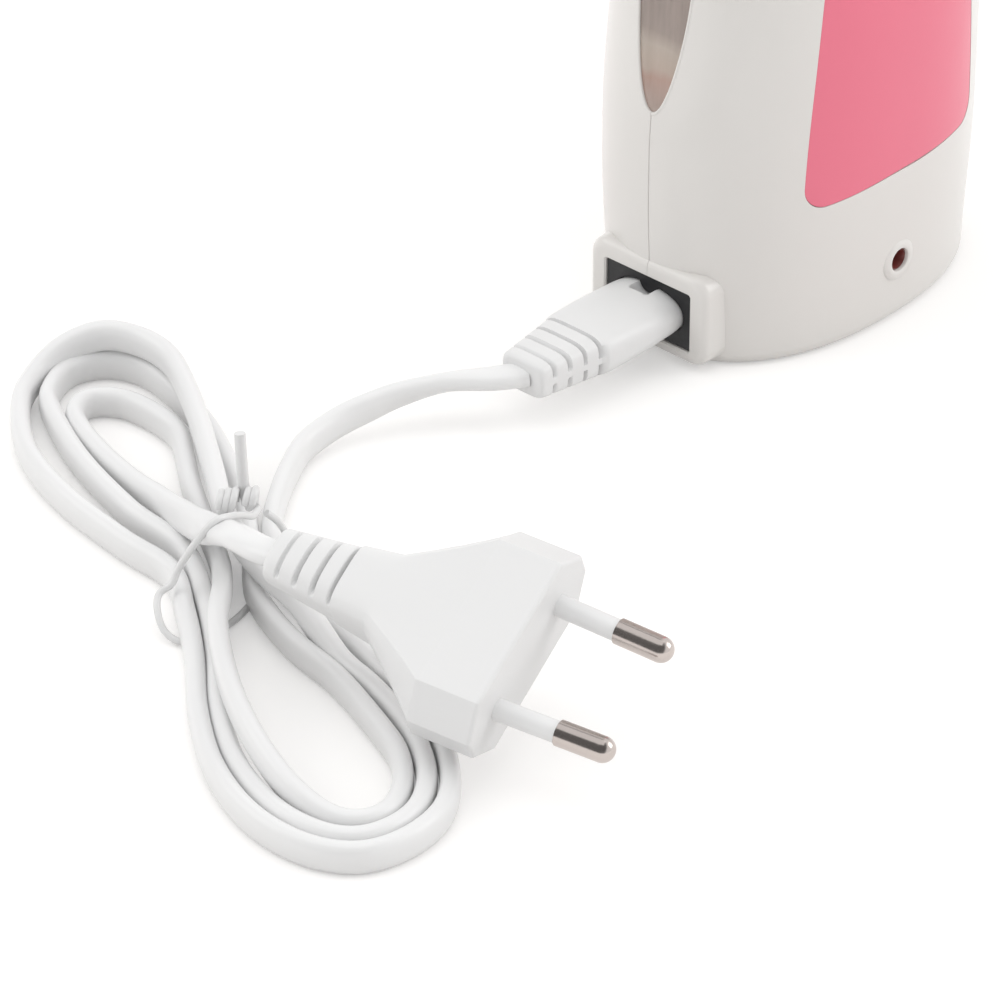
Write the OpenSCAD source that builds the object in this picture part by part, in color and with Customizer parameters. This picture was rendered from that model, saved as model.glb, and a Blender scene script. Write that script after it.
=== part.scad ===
// Handheld roll-on wax warmer with a wax cartridge and a detachable mains lead.
// Millimetres, +Z up. The origin is the centre of the base, on the table. The narrow side with the
// window and the mains inlet faces -X, and the wide faces with the colour panels face -Y and +Y.

/* [Body] */
// Length of the body from the inlet side to the back
body_l = 68.8; // [67:0.2:74]
// Depth of the body across its wide faces
body_d = 47.8; // [47:0.2:52]
// Height of the two shells
body_h = 146; // [142:1:154]
// Thickness of the shell walls
wall = 2.2; // [1.8:0.1:2.6]
// Squareness of the oval section, where 2 is an ellipse
oval_power = 2.3; // [2.2:0.1:2.8]
// How much each half of the section is smaller at the base
base_taper = 1.1; // [0.4:0.1:2]
// Radius of the rounded bottom edge
foot_r = 2.4; // [1:0.2:3]
// How far the inlet side leans in above the window's tip
front_waist = 3; // [1:0.2:4]
// How far the back leans in at the grip
back_waist = 1.6; // [0:0.2:2.4]
// How far each wide face leans in at the grip
side_waist = 1.4; // [0:0.2:2]

/* [Window and panels] */
// Height of the window's lower tip
window_z = 43.6; // [42:0.2:48]
// Height of the window from tip to top
window_h = 68; // [60:1:74]
// Greatest width of the window
window_w = 11.6; // [9:0.2:13]
// Height of the colour panel's lower edge
panel_z = 28; // [26:0.5:34]
// Height of the colour panel
panel_h = 104; // [90:1:108]
// Width of the colour panel at its lower edge
panel_w = 41; // [36:0.5:44]
// Width of the colour panel at its waist
panel_waist = 31; // [28:0.5:36]
// Depth of the pocket that the colour panel lies in
pocket = 1.2; // [0.8:0.1:1.4]

/* [Inlet and lamp] */
// Width of the inlet's black face
inlet_w = 18; // [17.4:0.1:19]
// Height of the inlet's black face
inlet_h = 10.6; // [10:0.1:11.4]
// Height of the inlet's centre above the table
inlet_z = 8.7; // [8:0.1:10]
// Width of the collar around the inlet
collar_w = 24.8; // [23.6:0.2:27]
// Distance between the two pins of the inlet
pin_pitch = 8.6; // [8.4:0.1:8.8]
// Diameter of the inlet's pins
inlet_pin_d = 2.4; // [2.2:0.1:2.6]
// Height of the indicator lamp
lamp_z = 11.5; // [10:0.5:16]
// Diameter of the indicator lamp
lamp_d = 3.8; // [3:0.1:4.4]

/* [Heater] */
// Room between the cartridge and the outside of the body at each narrow end
end_room = 12.4; // [11.8:0.1:13.4]
// Room between the cartridge and the outside of the body at each wide face
side_room = 9.4; // [9.2:0.1:10.4]
// Thickness of the aluminium well
well_t = 1.2; // [0.8:0.1:1.4]
// Gap around the cartridge in the well
tank_gap = 0.6; // [0.4:0.1:0.8]
// Height of the well's lower end
well_z = 50.6; // [49:0.2:54]
// Length of the aluminium well
well_h = 86; // [80:1:88]
// Length of each ceramic heater
heater_l = 36; // [24:1:44]

/* [Cartridge head] */
// Length of the cartridge's tank
tank_h = 99; // [96:1:106]
// Diameter of the roller
roller_d = 14; // [12:0.5:15]
// How much shorter the roller is than the cartridge
roller_room = 10; // [9:0.5:14]
// Diameter of the roller's axle
axle_d = 3; // [2.4:0.1:3.6]

/* [Lead] */
// Width of the flat cord
cord_w = 5.2; // [4.8:0.1:5.4]
// Thickness of the flat cord
cord_t = 3.2; // [3:0.1:3.4]
// Width of the mains plug
plug_w = 34; // [33:0.5:35.3]
// Thickness of the mains plug
plug_t = 13.6; // [13:0.1:13.7]
// Diameter of the mains plug's pins
plug_pin_d = 4; // [4:0.05:4.05]
// Length of the mains plug's pins
plug_pin_l = 19; // [18.5:0.5:19]
// Distance between the pins at the plug's face
plug_pin_pitch = 18.6; // [18:0.1:19.2]

/* [Hidden] */
fine = 48;                 // facets of round parts
eps = 0.01;                // overlap that makes a clean cut
fit_gap = 0.1;             // gap around a piece that is fitted in place
slide_gap = 0.05;          // radial running clearance of a pin in its bore
seam = 0.05;               // half the parting gap between the shells
tank_l = body_l - 2 * end_room;  // length of the cartridge's oval section
tank_d = body_d - 2 * side_room; // its depth
roller_l = tank_l - roller_room;
well_l = tank_l + 2 * (tank_gap + well_t);
well_d = tank_d + 2 * (tank_gap + well_t);

// Body section by height
base_rise = 30;            // height over which the base taper ends
lean_lo = 36;              // where the inlet side starts to lean in
lean_hi = 70;              // where it stops
grip_lo = 48;              // where the back and the wide faces start to lean in
grip_hi = 92;              // where they stop
flare_lo = 108;            // where the body widens again towards the mouth
flare_part = 0.5;          // part of each waist that the mouth wins back
arc_steps = 20;            // facets of half a section
skin_z = [base_rise / 3, base_rise * 2 / 3, base_rise, 37, 43, 50, 57, 64, 72, 82, 92, 108, 127];
body_z = concat([0, foot_r * 0.15, foot_r * 0.5, foot_r], skin_z, [body_h]);
floor_t = 2.4;             // thickness of the shells' floor

function ease(t) = let(k = min(max(t, 0), 1)) k * k * (3 - 2 * k);
function lean(z, lo, hi) = ease((z - lo) / (hi - lo))
  - flare_part * ease((z - flare_lo) / (body_h - flare_lo));
function taper(z) = base_taper * (1 - ease(z / base_rise));
function front_x(z) = body_l / 2 - taper(z) - front_waist * lean(z, lean_lo, lean_hi);
function back_x(z) = body_l / 2 - taper(z) - back_waist * lean(z, grip_lo, grip_hi);
function half_y(z) = body_d / 2 - taper(z) - side_waist * lean(z, grip_lo, grip_hi);
function signed_pow(v, p) = sign(v) * pow(abs(v), p);
// How far the rounded bottom edge lies inside the section at height z
function foot_in(z) = foot_r - sqrt(max(foot_r * foot_r - pow(max(foot_r - z, 0), 2), 0));

// Point of the oval at an angle (0 is the back, 180 the inlet side), at height z, moved inwards
function oval(a, z, inset) = [
  ((cos(a) < 0 ? front_x(z) : back_x(z)) - inset) * signed_pow(cos(a), 2 / oval_power),
  (half_y(z) - inset) * signed_pow(sin(a), 2 / oval_power)];
// Distance of the oval's surface from the y = 0 plane, at a given x and height
function skin_y(x, z, inset = 0) =
  let(a = (x < 0 ? front_x(z) : back_x(z)) - inset)
  (half_y(z) - inset) * pow(1 - pow(min(abs(x) / a, 1), oval_power), 1 / oval_power);

// Faces of a solid made of closed rings of n points, one above another
function ring_faces(rows, n) = concat(
  [[for (i = [0:n - 1]) i]],
  [for (r = [0:rows - 2], i = [0:n - 1], k = [0, 1])
    let(j = (i + 1) % n, lo = r * n, hi = lo + n)
    k == 0 ? [lo + i, hi + j, lo + j] : [lo + i, hi + i, hi + j]],
  [[for (i = [n - 1:-1:0]) (rows - 1) * n + i]]);

// Solid oval body, moved inwards, between two heights
module body_solid(inset, lo, hi) {
  zs = [for (z = body_z) if (z >= lo && z <= hi) z];
  n = 2 * arc_steps;
  pts = [for (z = zs, i = [0:n - 1]) concat(oval(i * 360 / n, z, inset + foot_in(z)), [z])];
  polyhedron(pts, ring_faces(len(zs), n), convexity = 4);
}

// Half of the hollow body on one side of the parting plane: side is -1 or 1. Each row is a C-shaped loop, and
// the inner points of the lowest rows stay on the parting plane, which leaves the floor solid.
module half_shell(side) {
  floor_row = 3;
  m = arc_steps + 1;
  a0 = side > 0 ? 0 : 180;
  pts = [for (r = [0:len(body_z) - 1]) let(
      z = body_z[r],
      inner_z = r < floor_row ? floor_t * r / (floor_row - 1) : max(z, floor_t))
    each concat(
      [for (i = [0:arc_steps]) let(p = oval(a0 + i * 180 / arc_steps, z, foot_in(z)))
        [p.x, i == 0 || i == arc_steps ? 0 : p.y, z]],
      [for (i = [arc_steps:-1:0]) let(p = oval(a0 + i * 180 / arc_steps, inner_z, wall))
        [p.x, r < floor_row || i == 0 || i == arc_steps ? 0 : p.y, inner_z]])];
  translate([0, side * seam, 0]) polyhedron(pts, ring_faces(len(body_z), 2 * m), convexity = 8);
}

// Rounded rectangle, centred
module round_rect(w, h, r) {
  square([w - 2 * r, h], center = true);
  square([w, h - 2 * r], center = true);
  for (x = [-1, 1], y = [-1, 1]) translate([x * (w / 2 - r), y * (h / 2 - r)]) circle(r, $fn = fine);
}
// Oval of two half circles with straight sides, centred
module stadium(l, d) {
  square([l - d, d], center = true);
  for (x = [-1, 1]) translate([x * (l - d) / 2, 0]) circle(d = d, $fn = fine);
}
module stadium_ring(l, d, t, h) {
  linear_extrude(h) difference() { stadium(l, d); stadium(l - 2 * t, d - 2 * t); }
}
// Puts a shape drawn in the X-Y plane upright, facing -X: its x runs along -Y and its y along Z
module facing_front() { rotate([90, 0, -90]) children(); }
// Turns a solid that was drawn along +Z so that it runs along -X or +X
module towards_inlet() { rotate([0, -90, 0]) children(); }
module towards_back() { rotate([0, 90, 0]) children(); }

// Window outline: half an ellipse below and half above the widest place, x is -Y and y is Z
window_peak = 0.46;        // height of the widest place, as part of the window's height
window_steps = 16;
module window_outline(shrink) {
  low = window_h * window_peak - shrink;
  high = window_h * (1 - window_peak) - shrink;
  w = window_w / 2 - shrink;
  translate([0, window_z + window_h * window_peak])
    polygon([for (i = [0:2 * window_steps - 1]) let(a = i * 180 / window_steps)
      [w * cos(a), (sin(a) < 0 ? low : high) * sin(a)]]);
}
module window_cut(shrink, from_x, to_x) {
  translate([from_x, 0, 0]) facing_front() linear_extrude(from_x - to_x) window_outline(shrink);
}

// Panel outline: rounded lower corners, a waist and a rounded top, x is X and y is Z
panel_r = 4;               // radius of the panel's corners
panel_rows = 8;
panel_x = 0.3;             // shift of the panel's middle towards the back
function panel_half(t) = (panel_w - (panel_w - panel_waist) * ease(t / 0.6)) / 2
  + (panel_w - panel_waist) / 6 * ease((t - 0.6) / 0.4);
function corner(cx, cz, from_a, r) = [for (i = [0:4])
  let(a = from_a + i * 22.5) [cx + r * cos(a), cz + r * sin(a)]];
module panel_outline(shrink) {
  r = panel_r - shrink;
  w0 = panel_half(0);
  w1 = panel_half(1);
  right = [for (i = [1:panel_rows - 1]) let(t = i / panel_rows) [panel_half(t) - shrink,
    panel_z + panel_h * t]];
  left = [for (i = [panel_rows - 1:-1:1]) let(t = i / panel_rows) [-panel_half(t) + shrink,
    panel_z + panel_h * t]];
  translate([panel_x, 0]) polygon(concat(
    corner(-w0 + panel_r, panel_z + panel_r, 180, r),
    corner(w0 - panel_r, panel_z + panel_r, 270, r), right,
    corner(w1 - panel_r, panel_z + panel_h - panel_r, 0, r),
    corner(-w1 + panel_r, panel_z + panel_h - panel_r, 90, r), left));
}
module panel_prism(side, shrink) {
  translate([0, side > 0 ? body_d : 0, 0]) rotate([90, 0, 0]) linear_extrude(body_d) panel_outline(shrink);
}

// Screws that hold the shells together: [x, z]
low_screw_x = 15;
low_screw_z = 32;
high_screw_z = 127;
high_screw_x = well_l / 2 + 3.9;
screw_at = [[low_screw_x, low_screw_z], [-low_screw_x, low_screw_z], [high_screw_x, high_screw_z],
  [-high_screw_x, high_screw_z]];
post_d = 5.6;
post_draft = 0.6;          // how much thicker a post is at the wall
post_wall_d = 7.4;         // post around a screw head
pilot_d = 2.5;
screw_d = 2.8;
screw_hole_d = 3.2;
head_d = 5;
head_h = 1.8;
head_hole_d = 5.4;
head_y = 6;                // seat of the screw heads, from the parting plane
screw_l = 15;
screw_bite = 0.4;          // tip gap in the pilot hole
cross_w = 0.8;             // width of the cross in a screw's head
rib_t = 1.4;               // ribs that tie the posts to the wall
mould_fn = 24;             // facets of round parts inside the shells
module along_y(y0, y1, d, n = fine) {
  translate([0, y1, 0]) rotate([90, 0, 0]) cylinder(h = y1 - y0, d = d, $fn = n);
}
// Moulded post from one distance from the parting plane to another, thicker at the wall
module post(side, y0, y1, d) {
  hull() {
    along_y(side > 0 ? y0 : -y0 - eps, side > 0 ? y0 + eps : -y0, d, mould_fn);
    along_y(side > 0 ? y1 - eps : -y1, side > 0 ? y1 : -y1 + eps, d + post_draft, mould_fn);
  }
}
// Rib from a post to the wall beside it
module post_rib(side, s) {
  reach = (s.x < 0 ? front_x(s.y) : back_x(s.y)) - wall / 2;
  deep = skin_y(sign(s.x) * (abs(s.x) + post_d / 2), s.y) - wall;
  hull() {
    translate([s.x, side > 0 ? wall : -deep, s.y - rib_t / 2]) cube([eps, deep - wall, rib_t]);
    translate([sign(s.x) * reach, side > 0 ? wall : -2 * wall, s.y - rib_t / 2]) cube([eps, wall, rib_t]);
  }
}
module screw_posts(side) {
  for (s = screw_at) {
    top = skin_y(s.x, s.y) - wall / 2;
    translate([s.x, 0, s.y]) {
      post(side, seam, top, post_d);
      if (side > 0) post(side, head_y - wall, top, post_wall_d);
    }
    post_rib(side, s);
  }
}
module screw_holes(side) {
  for (s = screw_at) translate([s.x, 0, s.y])
    if (side < 0) {
      along_y(-(screw_l - head_y + screw_bite), eps, pilot_d, mould_fn);
    } else {
      along_y(-eps, body_d, screw_hole_d, mould_fn);
      along_y(head_y, body_d, head_hole_d, mould_fn);
    }
}

// Ledges inside the shells that carry the well's seat, each with a slope below it
ledge_x = 9;               // distance of each ledge from the body's axis
ledge_w = 4;
ledge_t = 2;
ledge_h = 7;               // height with the slope
seat_z = 46.6;             // underside of the seat
ledge_in = 2;              // how far a ledge reaches under the seat
module ledges(side) {
  for (x = [-1, 1]) {
    out = skin_y(x * (ledge_x + ledge_w / 2), seat_z - ledge_h) - wall / 2;
    reach = out - tank_d / 2 + ledge_in;
    translate([x * ledge_x - ledge_w / 2, side > 0 ? out : -out, seat_z]) mirror([0, side > 0 ? 1 : 0, 0])
      hull() {
      translate([0, 0, -ledge_t]) cube([ledge_w, reach, ledge_t]);
      translate([0, 0, -ledge_h]) cube([ledge_w, eps, ledge_h]);
    }
  }
}

// Collar around the inlet
collar_lo = 1.2;           // height of the collar's underside
collar_hi = 17.2;          // height of its top
collar_r = 2;
collar_face = body_l / 2;  // its outer face
collar_deep = 7.4;
collar_back = collar_face - collar_deep; // how far its inner end is from the body's axis
inlet_sink = 0.5;          // how far the inlet's face lies behind the collar's
inlet_face = collar_face - inlet_sink;
module collar(side) {
  intersection() {
    translate([-collar_back, 0, (collar_lo + collar_hi) / 2]) facing_front()
      linear_extrude(collar_face - collar_back) round_rect(collar_w, collar_hi - collar_lo, collar_r);
    translate([-2 * collar_face, side > 0 ? seam : -collar_w - seam, 0])
      cube([2 * collar_face, collar_w, collar_hi + 1]);
  }
}
bezel_d = 7.2;             // raised ring around the lamp hole
bezel_h = 0.5;
bezel_in = 4.2;            // lamp hole
lamp_x = 0.5;
lamp_y = skin_y(lamp_x, lamp_z);
board_w = 12;              // lamp board behind the bezel
board_h = 10;
board_t = 1.2;
board_y = 12;              // distance of the lamp board from the parting plane
board_post_d = 2.2;        // two posts that carry the board
board_post_x = 4.6;
module lamp_mount() {
  translate([lamp_x, 0, lamp_z]) {
    along_y(-lamp_y - bezel_h, -lamp_y + wall / 2, bezel_d, mould_fn);
    for (x = [-1, 1]) translate([x * board_post_x, 0, board_h / 4])
      along_y(-lamp_y + wall / 2, -board_y - board_t, board_post_d, mould_fn);
  }
}

lens_bed = 5.4;            // depth of the window opening from the widest part of the inlet side
module shell(side) {
  difference() {
    union() {
      half_shell(side);
      collar(side);
      intersection() {
        screw_posts(side);
        body_solid(wall / 2, 0, body_h);
      }
      ledges(side);
      if (side < 0) lamp_mount();
    }
    translate([-collar_face - 1, -inlet_w / 2, inlet_z - inlet_h / 2])
      cube([collar_face - collar_back + 2 + wall, inlet_w, inlet_h]);
    window_cut(0, lens_bed - body_l / 2, -body_l / 2 - 1);
    screw_holes(side);
    if (side < 0) translate([lamp_x, 0, lamp_z]) along_y(-body_d, -body_d / 3, bezel_in, mould_fn);
    difference() {
      panel_prism(side, 0);
      body_solid(pocket, panel_from, body_h);
    }
  }
}
module shell_near() { color([0.95, 0.95, 0.94]) shell(-1); }
module shell_far() { color([0.95, 0.95, 0.94]) shell(1); }

panel_from = base_rise * 2 / 3; // lowest section that the panels need
module side_panel(side) {
  color([0.93, 0.48, 0.56]) intersection() {
    panel_prism(side, fit_gap);
    difference() {
      body_solid(fit_gap, panel_from, body_h);
      body_solid(pocket - eps, panel_from, body_h);
    }
  }
}
module side_panel_near() { side_panel(-1); }
module side_panel_far() { side_panel(1); }

lens_t = 1.6;
lens_lo = skin_z[3];       // sections that the lens needs
lens_hi = skin_z[len(skin_z) - 1];
module window_lens() {
  color([0.6, 0.5, 0.45, 0.5]) intersection() {
    window_cut(fit_gap, lens_bed + lens_t - body_l / 2, -body_l / 2 - 1);
    difference() {
      body_solid(fit_gap, lens_lo, lens_hi);
      body_solid(fit_gap + lens_t, lens_lo, lens_hi);
    }
  }
}

rim_h = 4;                 // height of the mouth's rim above the shells
skirt_z = 132;             // lower end of the skirt that holds the well
skirt_t = 1.4;
module top_rim() {
  color([0.95, 0.95, 0.94]) {
    difference() {
      union() {
        translate([0, 0, body_h + fit_gap]) linear_extrude(rim_h)
          polygon([for (i = [0:2 * arc_steps - 1]) oval(i * 180 / arc_steps, body_h, 0)]);
        translate([0, 0, skirt_z]) linear_extrude(body_h - skirt_z + 1)
          stadium(well_l + 2 * (skirt_t + fit_gap), well_d + 2 * (skirt_t + fit_gap));
      }
      translate([0, 0, skirt_z - 1]) linear_extrude(body_h + rim_h)
        stadium(tank_l + 2 * tank_gap, tank_d + 2 * tank_gap);
      translate([0, 0, skirt_z - 1]) linear_extrude(well_z + well_h + fit_gap - skirt_z + 1)
        stadium(well_l + 2 * fit_gap, well_d + 2 * fit_gap);
    }
  }
}

seat_spigot = 1.6;         // how far the seat reaches up inside the well
module well_seat() {
  color([0.88, 0.83, 0.72]) {
    translate([0, 0, seat_z]) linear_extrude(well_z - seat_z) stadium(well_l, well_d);
    translate([0, 0, well_z - eps]) linear_extrude(seat_spigot)
      stadium(tank_l + 2 * (tank_gap - fit_gap), tank_d + 2 * (tank_gap - fit_gap));
  }
}
module heating_well() {
  color([0.72, 0.72, 0.72]) translate([0, 0, well_z]) stadium_ring(well_l, well_d, well_t, well_h);
}
heater_room = 2;           // straight part of the well's side that each heater leaves free
heater_w = well_l - well_d - heater_room;
heater_t = 2.4;
heater_z = 72;             // lower end of the heaters
module ceramic_heaters() {
  color([0.82, 0.8, 0.74]) for (y = [-1, 1])
    translate([-heater_w / 2, y > 0 ? well_d / 2 : -well_d / 2 - heater_t, heater_z])
      cube([heater_w, heater_t, heater_l]);
}
band_t = 0.5;
band_h = 9;
module heater_band() {
  color([0.75, 0.75, 0.77]) translate([0, 0, heater_z + (heater_l - band_h) / 2])
    stadium_ring(well_l + 2 * (band_t + fit_gap), well_d + 2 * (heater_t + band_t + seam), band_t, band_h);
}
cutout_l = 13;
cutout_t = 3.4;
cutout_h = 7;
cutout_z = 58;
module thermal_cutout() {
  color([0.25, 0.25, 0.27]) translate([-cutout_l / 2, -well_d / 2 - cutout_t, cutout_z])
    cube([cutout_l, cutout_t, cutout_h]);
}

// Inlet: a black block with a figure-of-eight socket
inlet_l = 16.5;            // length of the inlet block
socket_l = 12;             // depth of the socket
socket_r = 4.2;
socket_waist = 3.7;        // half height of the socket at its middle
socket_foot = 2;           // from the socket's mouth to the tip of its pins
plate_t = 2;               // plate that holds the inlet behind the collar
plate_w = 23;
plate_rise = 6.6;          // height of the plate above the inlet's centre
key_w = 2.2;               // key slot at the top of the socket
key_h = 1.2;
module figure_eight(r, waist) {
  for (x = [-1, 1]) translate([x * pin_pitch / 2, 0]) circle(r, $fn = fine);
  square([pin_pitch, 2 * waist], center = true);
}
module lead_inlet() {
  color([0.07, 0.07, 0.08]) difference() {
    union() {
      translate([-inlet_face, -inlet_w / 2 + fit_gap, inlet_z - inlet_h / 2 + fit_gap])
        cube([inlet_l, inlet_w - 2 * fit_gap, inlet_h - 2 * fit_gap]);
      translate([-collar_back + fit_gap, -plate_w / 2, floor_t + fit_gap])
        cube([plate_t, plate_w, inlet_z + plate_rise - floor_t - fit_gap]);
    }
    translate([-inlet_face + socket_l, 0, inlet_z]) facing_front() linear_extrude(socket_l + 1)
      figure_eight(socket_r, socket_waist);
    translate([-inlet_face - 1, -key_w / 2, inlet_z]) cube([socket_l / 2, key_w, socket_waist + key_h]);
    for (y = [-1, 1]) translate([-inlet_face + socket_l - 1, y * pin_pitch / 2, inlet_z]) towards_back()
      cylinder(h = inlet_l, d = inlet_pin_d, $fn = fine);
  }
}
pin_back = 3;              // how far the inlet's pins stand out behind the block
module inlet_pins() {
  color([0.8, 0.78, 0.7]) for (y = [-1, 1])
    translate([-inlet_face + socket_foot + inlet_pin_d / 2, y * pin_pitch / 2, inlet_z]) {
      towards_back() cylinder(h = inlet_l + pin_back - socket_foot - inlet_pin_d / 2, d = inlet_pin_d,
        $fn = fine);
      sphere(d = inlet_pin_d, $fn = fine);
    }
}

wire_d = 1.6;
wire_ref = [1, 0.1, 0];    // direction that none of the wires runs along
module wire(pts, d) { sweep(pts, [for (i = [0:5]) d / 2 * [cos(i * 60), sin(i * 60)]], wire_ref); }
tail_x = -inlet_face + inlet_l + pin_back;
heater_mid = well_d / 2 + heater_t / 2; // distance of each heater's middle from the parting plane
wire_in = -4;              // where the wires turn upwards
wire_x = -3;
turn_z = inlet_z + 11.3;
rise_z = seat_z - 8.6;
live_y = heater_mid + 1.5;
module live_wire() {
  color([0.45, 0.28, 0.16]) wire([[tail_x, -pin_pitch / 2, inlet_z], [wire_in, -pin_pitch / 2 - 1.7,
    turn_z],
    [wire_x, -live_y, rise_z], [wire_x, -live_y, cutout_z - 6], [wire_x, -well_d / 2 - cutout_t / 2,
      cutout_z]], wire_d);
}
module neutral_wire() {
  color([0.2, 0.35, 0.7]) wire([[tail_x, pin_pitch / 2, inlet_z], [wire_in, pin_pitch / 2 + 1.7, turn_z],
    [wire_x, live_y, rise_z], [wire_x, live_y, heater_z - 10], [wire_x, heater_mid, heater_z]], wire_d);
}
lamp_wire_d = 1;
lamp_wire_x = 2.5;         // distance of each lamp wire from the lamp's axis
lamp_turn = 4;             // how far each lamp wire runs straight before it turns
lamp_drop = 4.7;           // how far outside its pin the near lamp wire comes down
// where a lamp wire meets the near (-1) or far (1) pin, on the side of the pin that faces the lamp
function lamp_tail(side) = [tail_x - pin_back / 2, (side * pin_pitch - inlet_pin_d) / 2, inlet_z];
module lamp_wires() {
  color([0.75, 0.2, 0.18]) {
    wire([[lamp_x - lamp_wire_x, -board_y, lamp_z], [lamp_x - lamp_wire_x, lamp_turn - board_y, lamp_z + 3],
      [2 * wire_in - 1, -pin_pitch / 2 - lamp_drop, inlet_z + inlet_pin_d], lamp_tail(-1)], lamp_wire_d);
    wire([[lamp_x + lamp_wire_x, -board_y, lamp_z], [lamp_x + lamp_wire_x, lamp_turn - board_y, lamp_z],
      [wire_in - 2, -1, inlet_z + 1.3], lamp_tail(1)], lamp_wire_d);
  }
}
module lamp_board() {
  color([0.2, 0.45, 0.25]) translate([lamp_x - board_w / 2, -board_y - board_t, lamp_z - board_h / 2])
    cube([board_w, board_t, board_h]);
}
lamp_sink = 1.2;           // how far the lamp's tip lies behind the bezel
module indicator_lamp() {
  color([0.75, 0.1, 0.1]) translate([lamp_x, 0, lamp_z]) {
    tip = -lamp_y + lamp_sink + lamp_d / 2;
    along_y(tip, -board_y - board_t, lamp_d);
    translate([0, tip, 0]) sphere(d = lamp_d, $fn = fine);
  }
}
module housing_screws() {
  color([0.7, 0.7, 0.72]) for (s = screw_at) translate([s.x, 0, s.y]) {
    along_y(head_y - screw_l, head_y + eps, screw_d);
    difference() {
      along_y(head_y, head_y + head_h, head_d);
      translate([-cross_w / 2, head_y + head_h / 2, -head_d / 3]) cube([cross_w, head_h, head_d * 2 / 3]);
      translate([-head_d / 3, head_y + head_h / 2, -cross_w / 2]) cube([head_d * 2 / 3, head_h, cross_w]);
    }
  }
}

// Cartridge: a tank that stands in the well, and a head with a roller across its mouth
tank_z = well_z + seat_spigot + fit_gap;
tank_top = tank_z + tank_h;
tank_t = 1.4;
mouth_w = 8;               // mouth that the wax comes out of
mouth_inset = 1;           // how much shorter the mouth is than the roller at each end
head_lip = 1;              // how much wider the head is than the tank
base_h = 6;                // height of the head's base
base_top = tank_top + base_h;
cheek_t = 3;               // the two cheeks that carry the axle
cheek_gap = 0.4;           // gap at each end of the roller
roller_gap = 0.6;          // gap under the roller, and between it and the wipers
wiper_t = 2;               // walls along both sides of the roller
wiper_part = 0.35;         // height of the wipers, as part of the roller's diameter
axle_z = base_top + roller_d / 2 + roller_gap;
cheek_x = roller_l / 2 + cheek_gap;
module cartridge_tank() {
  color([0.93, 0.9, 0.86]) translate([0, 0, tank_z]) difference() {
    linear_extrude(tank_h) stadium(tank_l, tank_d);
    translate([0, 0, tank_t]) linear_extrude(tank_h) stadium(tank_l - 2 * tank_t, tank_d - 2 * tank_t);
  }
}
module cartridge_head() {
  color([0.96, 0.96, 0.95]) difference() {
    union() {
      translate([0, 0, tank_top]) linear_extrude(base_h) stadium(tank_l + head_lip, tank_d + head_lip);
      for (x = [-1, 1]) translate([x * (cheek_x + cheek_t / 2) - cheek_t / 2, 0, base_top - eps]) {
        translate([0, -roller_d / 2, 0]) cube([cheek_t, roller_d, axle_z - base_top]);
        translate([0, 0, axle_z - base_top]) towards_back()
          cylinder(h = cheek_t, d = roller_d - 2 * roller_gap, $fn = fine);
      }
      for (y = [-1, 1]) translate([-cheek_x - eps, y > 0 ? wiper_y : -wiper_y - wiper_t, base_top - eps])
        cube([2 * cheek_x + 2 * eps, wiper_t, roller_d * wiper_part]);
    }
    translate([0, 0, tank_top - 1]) linear_extrude(base_h + 2)
      round_rect(roller_l - 2 * mouth_inset, mouth_w, 2);
    translate([-tank_l / 2, 0, axle_z]) towards_back() cylinder(h = tank_l, d = axle_d, $fn = fine);
  }
}
wiper_y = roller_d / 2 + roller_gap;
module roller_axle() {
  color([0.8, 0.8, 0.82]) translate([-cheek_x - cheek_t, 0, axle_z]) towards_back()
    cylinder(h = 2 * (cheek_x + cheek_t), d = axle_d, $fn = fine);
}
roller_ribs = 9;           // raised rings of the roller
ring_w = 1.2;
ring_h = 0.6;
module roller() {
  color([0.93, 0.5, 0.58]) translate([-roller_l / 2, 0, axle_z]) towards_back() difference() {
    union() {
      cylinder(h = roller_l, d = roller_d - 2 * ring_h, $fn = fine);
      for (i = [0:roller_ribs - 1])
        translate([0, 0, ring_w / 2 + i * (roller_l - 2 * ring_w) / (roller_ribs - 1)])
          cylinder(h = ring_w, d = roller_d, $fn = fine);
    }
    translate([0, 0, -1]) cylinder(h = roller_l + 2, d = axle_d + 2 * slide_gap, $fn = fine);
  }
}

// Connector that plugs into the inlet
nose_l = 11.2;             // length inside the socket
grip_l = 16.5;             // length of its smooth body outside
nose_gap = 0.3;            // gap around the connector in the socket
notch_r = 2;               // radius of the long notches above and below
relief_l = 13.5;           // ribbed strain relief
relief_ribs = 4;
relief_rib_w = 2.3;
relief_start = [12.4, 7.2, 2.4]; // first rib: width, height and corner radius
relief_end = [9.4, 6, 2.4];
relief_core = [7.4, 4.8, 2.2];
contact_d = 3.4;
contact_l = 10;
contact_lip = 0.5;         // how far the contacts lie behind the connector's tip
pin_hole_gap = 0.2;        // gap around a pin in the connector's tip
nose_x = -inlet_face + nose_l;
grip_x = -inlet_face - grip_l;
connector_end = grip_x - relief_l;
module connector_section(waist) {
  difference() {
    figure_eight(socket_r - nose_gap, waist);
    for (y = [-1, 1]) translate([0, y * (socket_waist + notch_r)])
      circle(r = notch_r + nose_gap, $fn = fine);
  }
}
module relief_rib(size) { round_rect(size[0], size[1], size[2]); }
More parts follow.
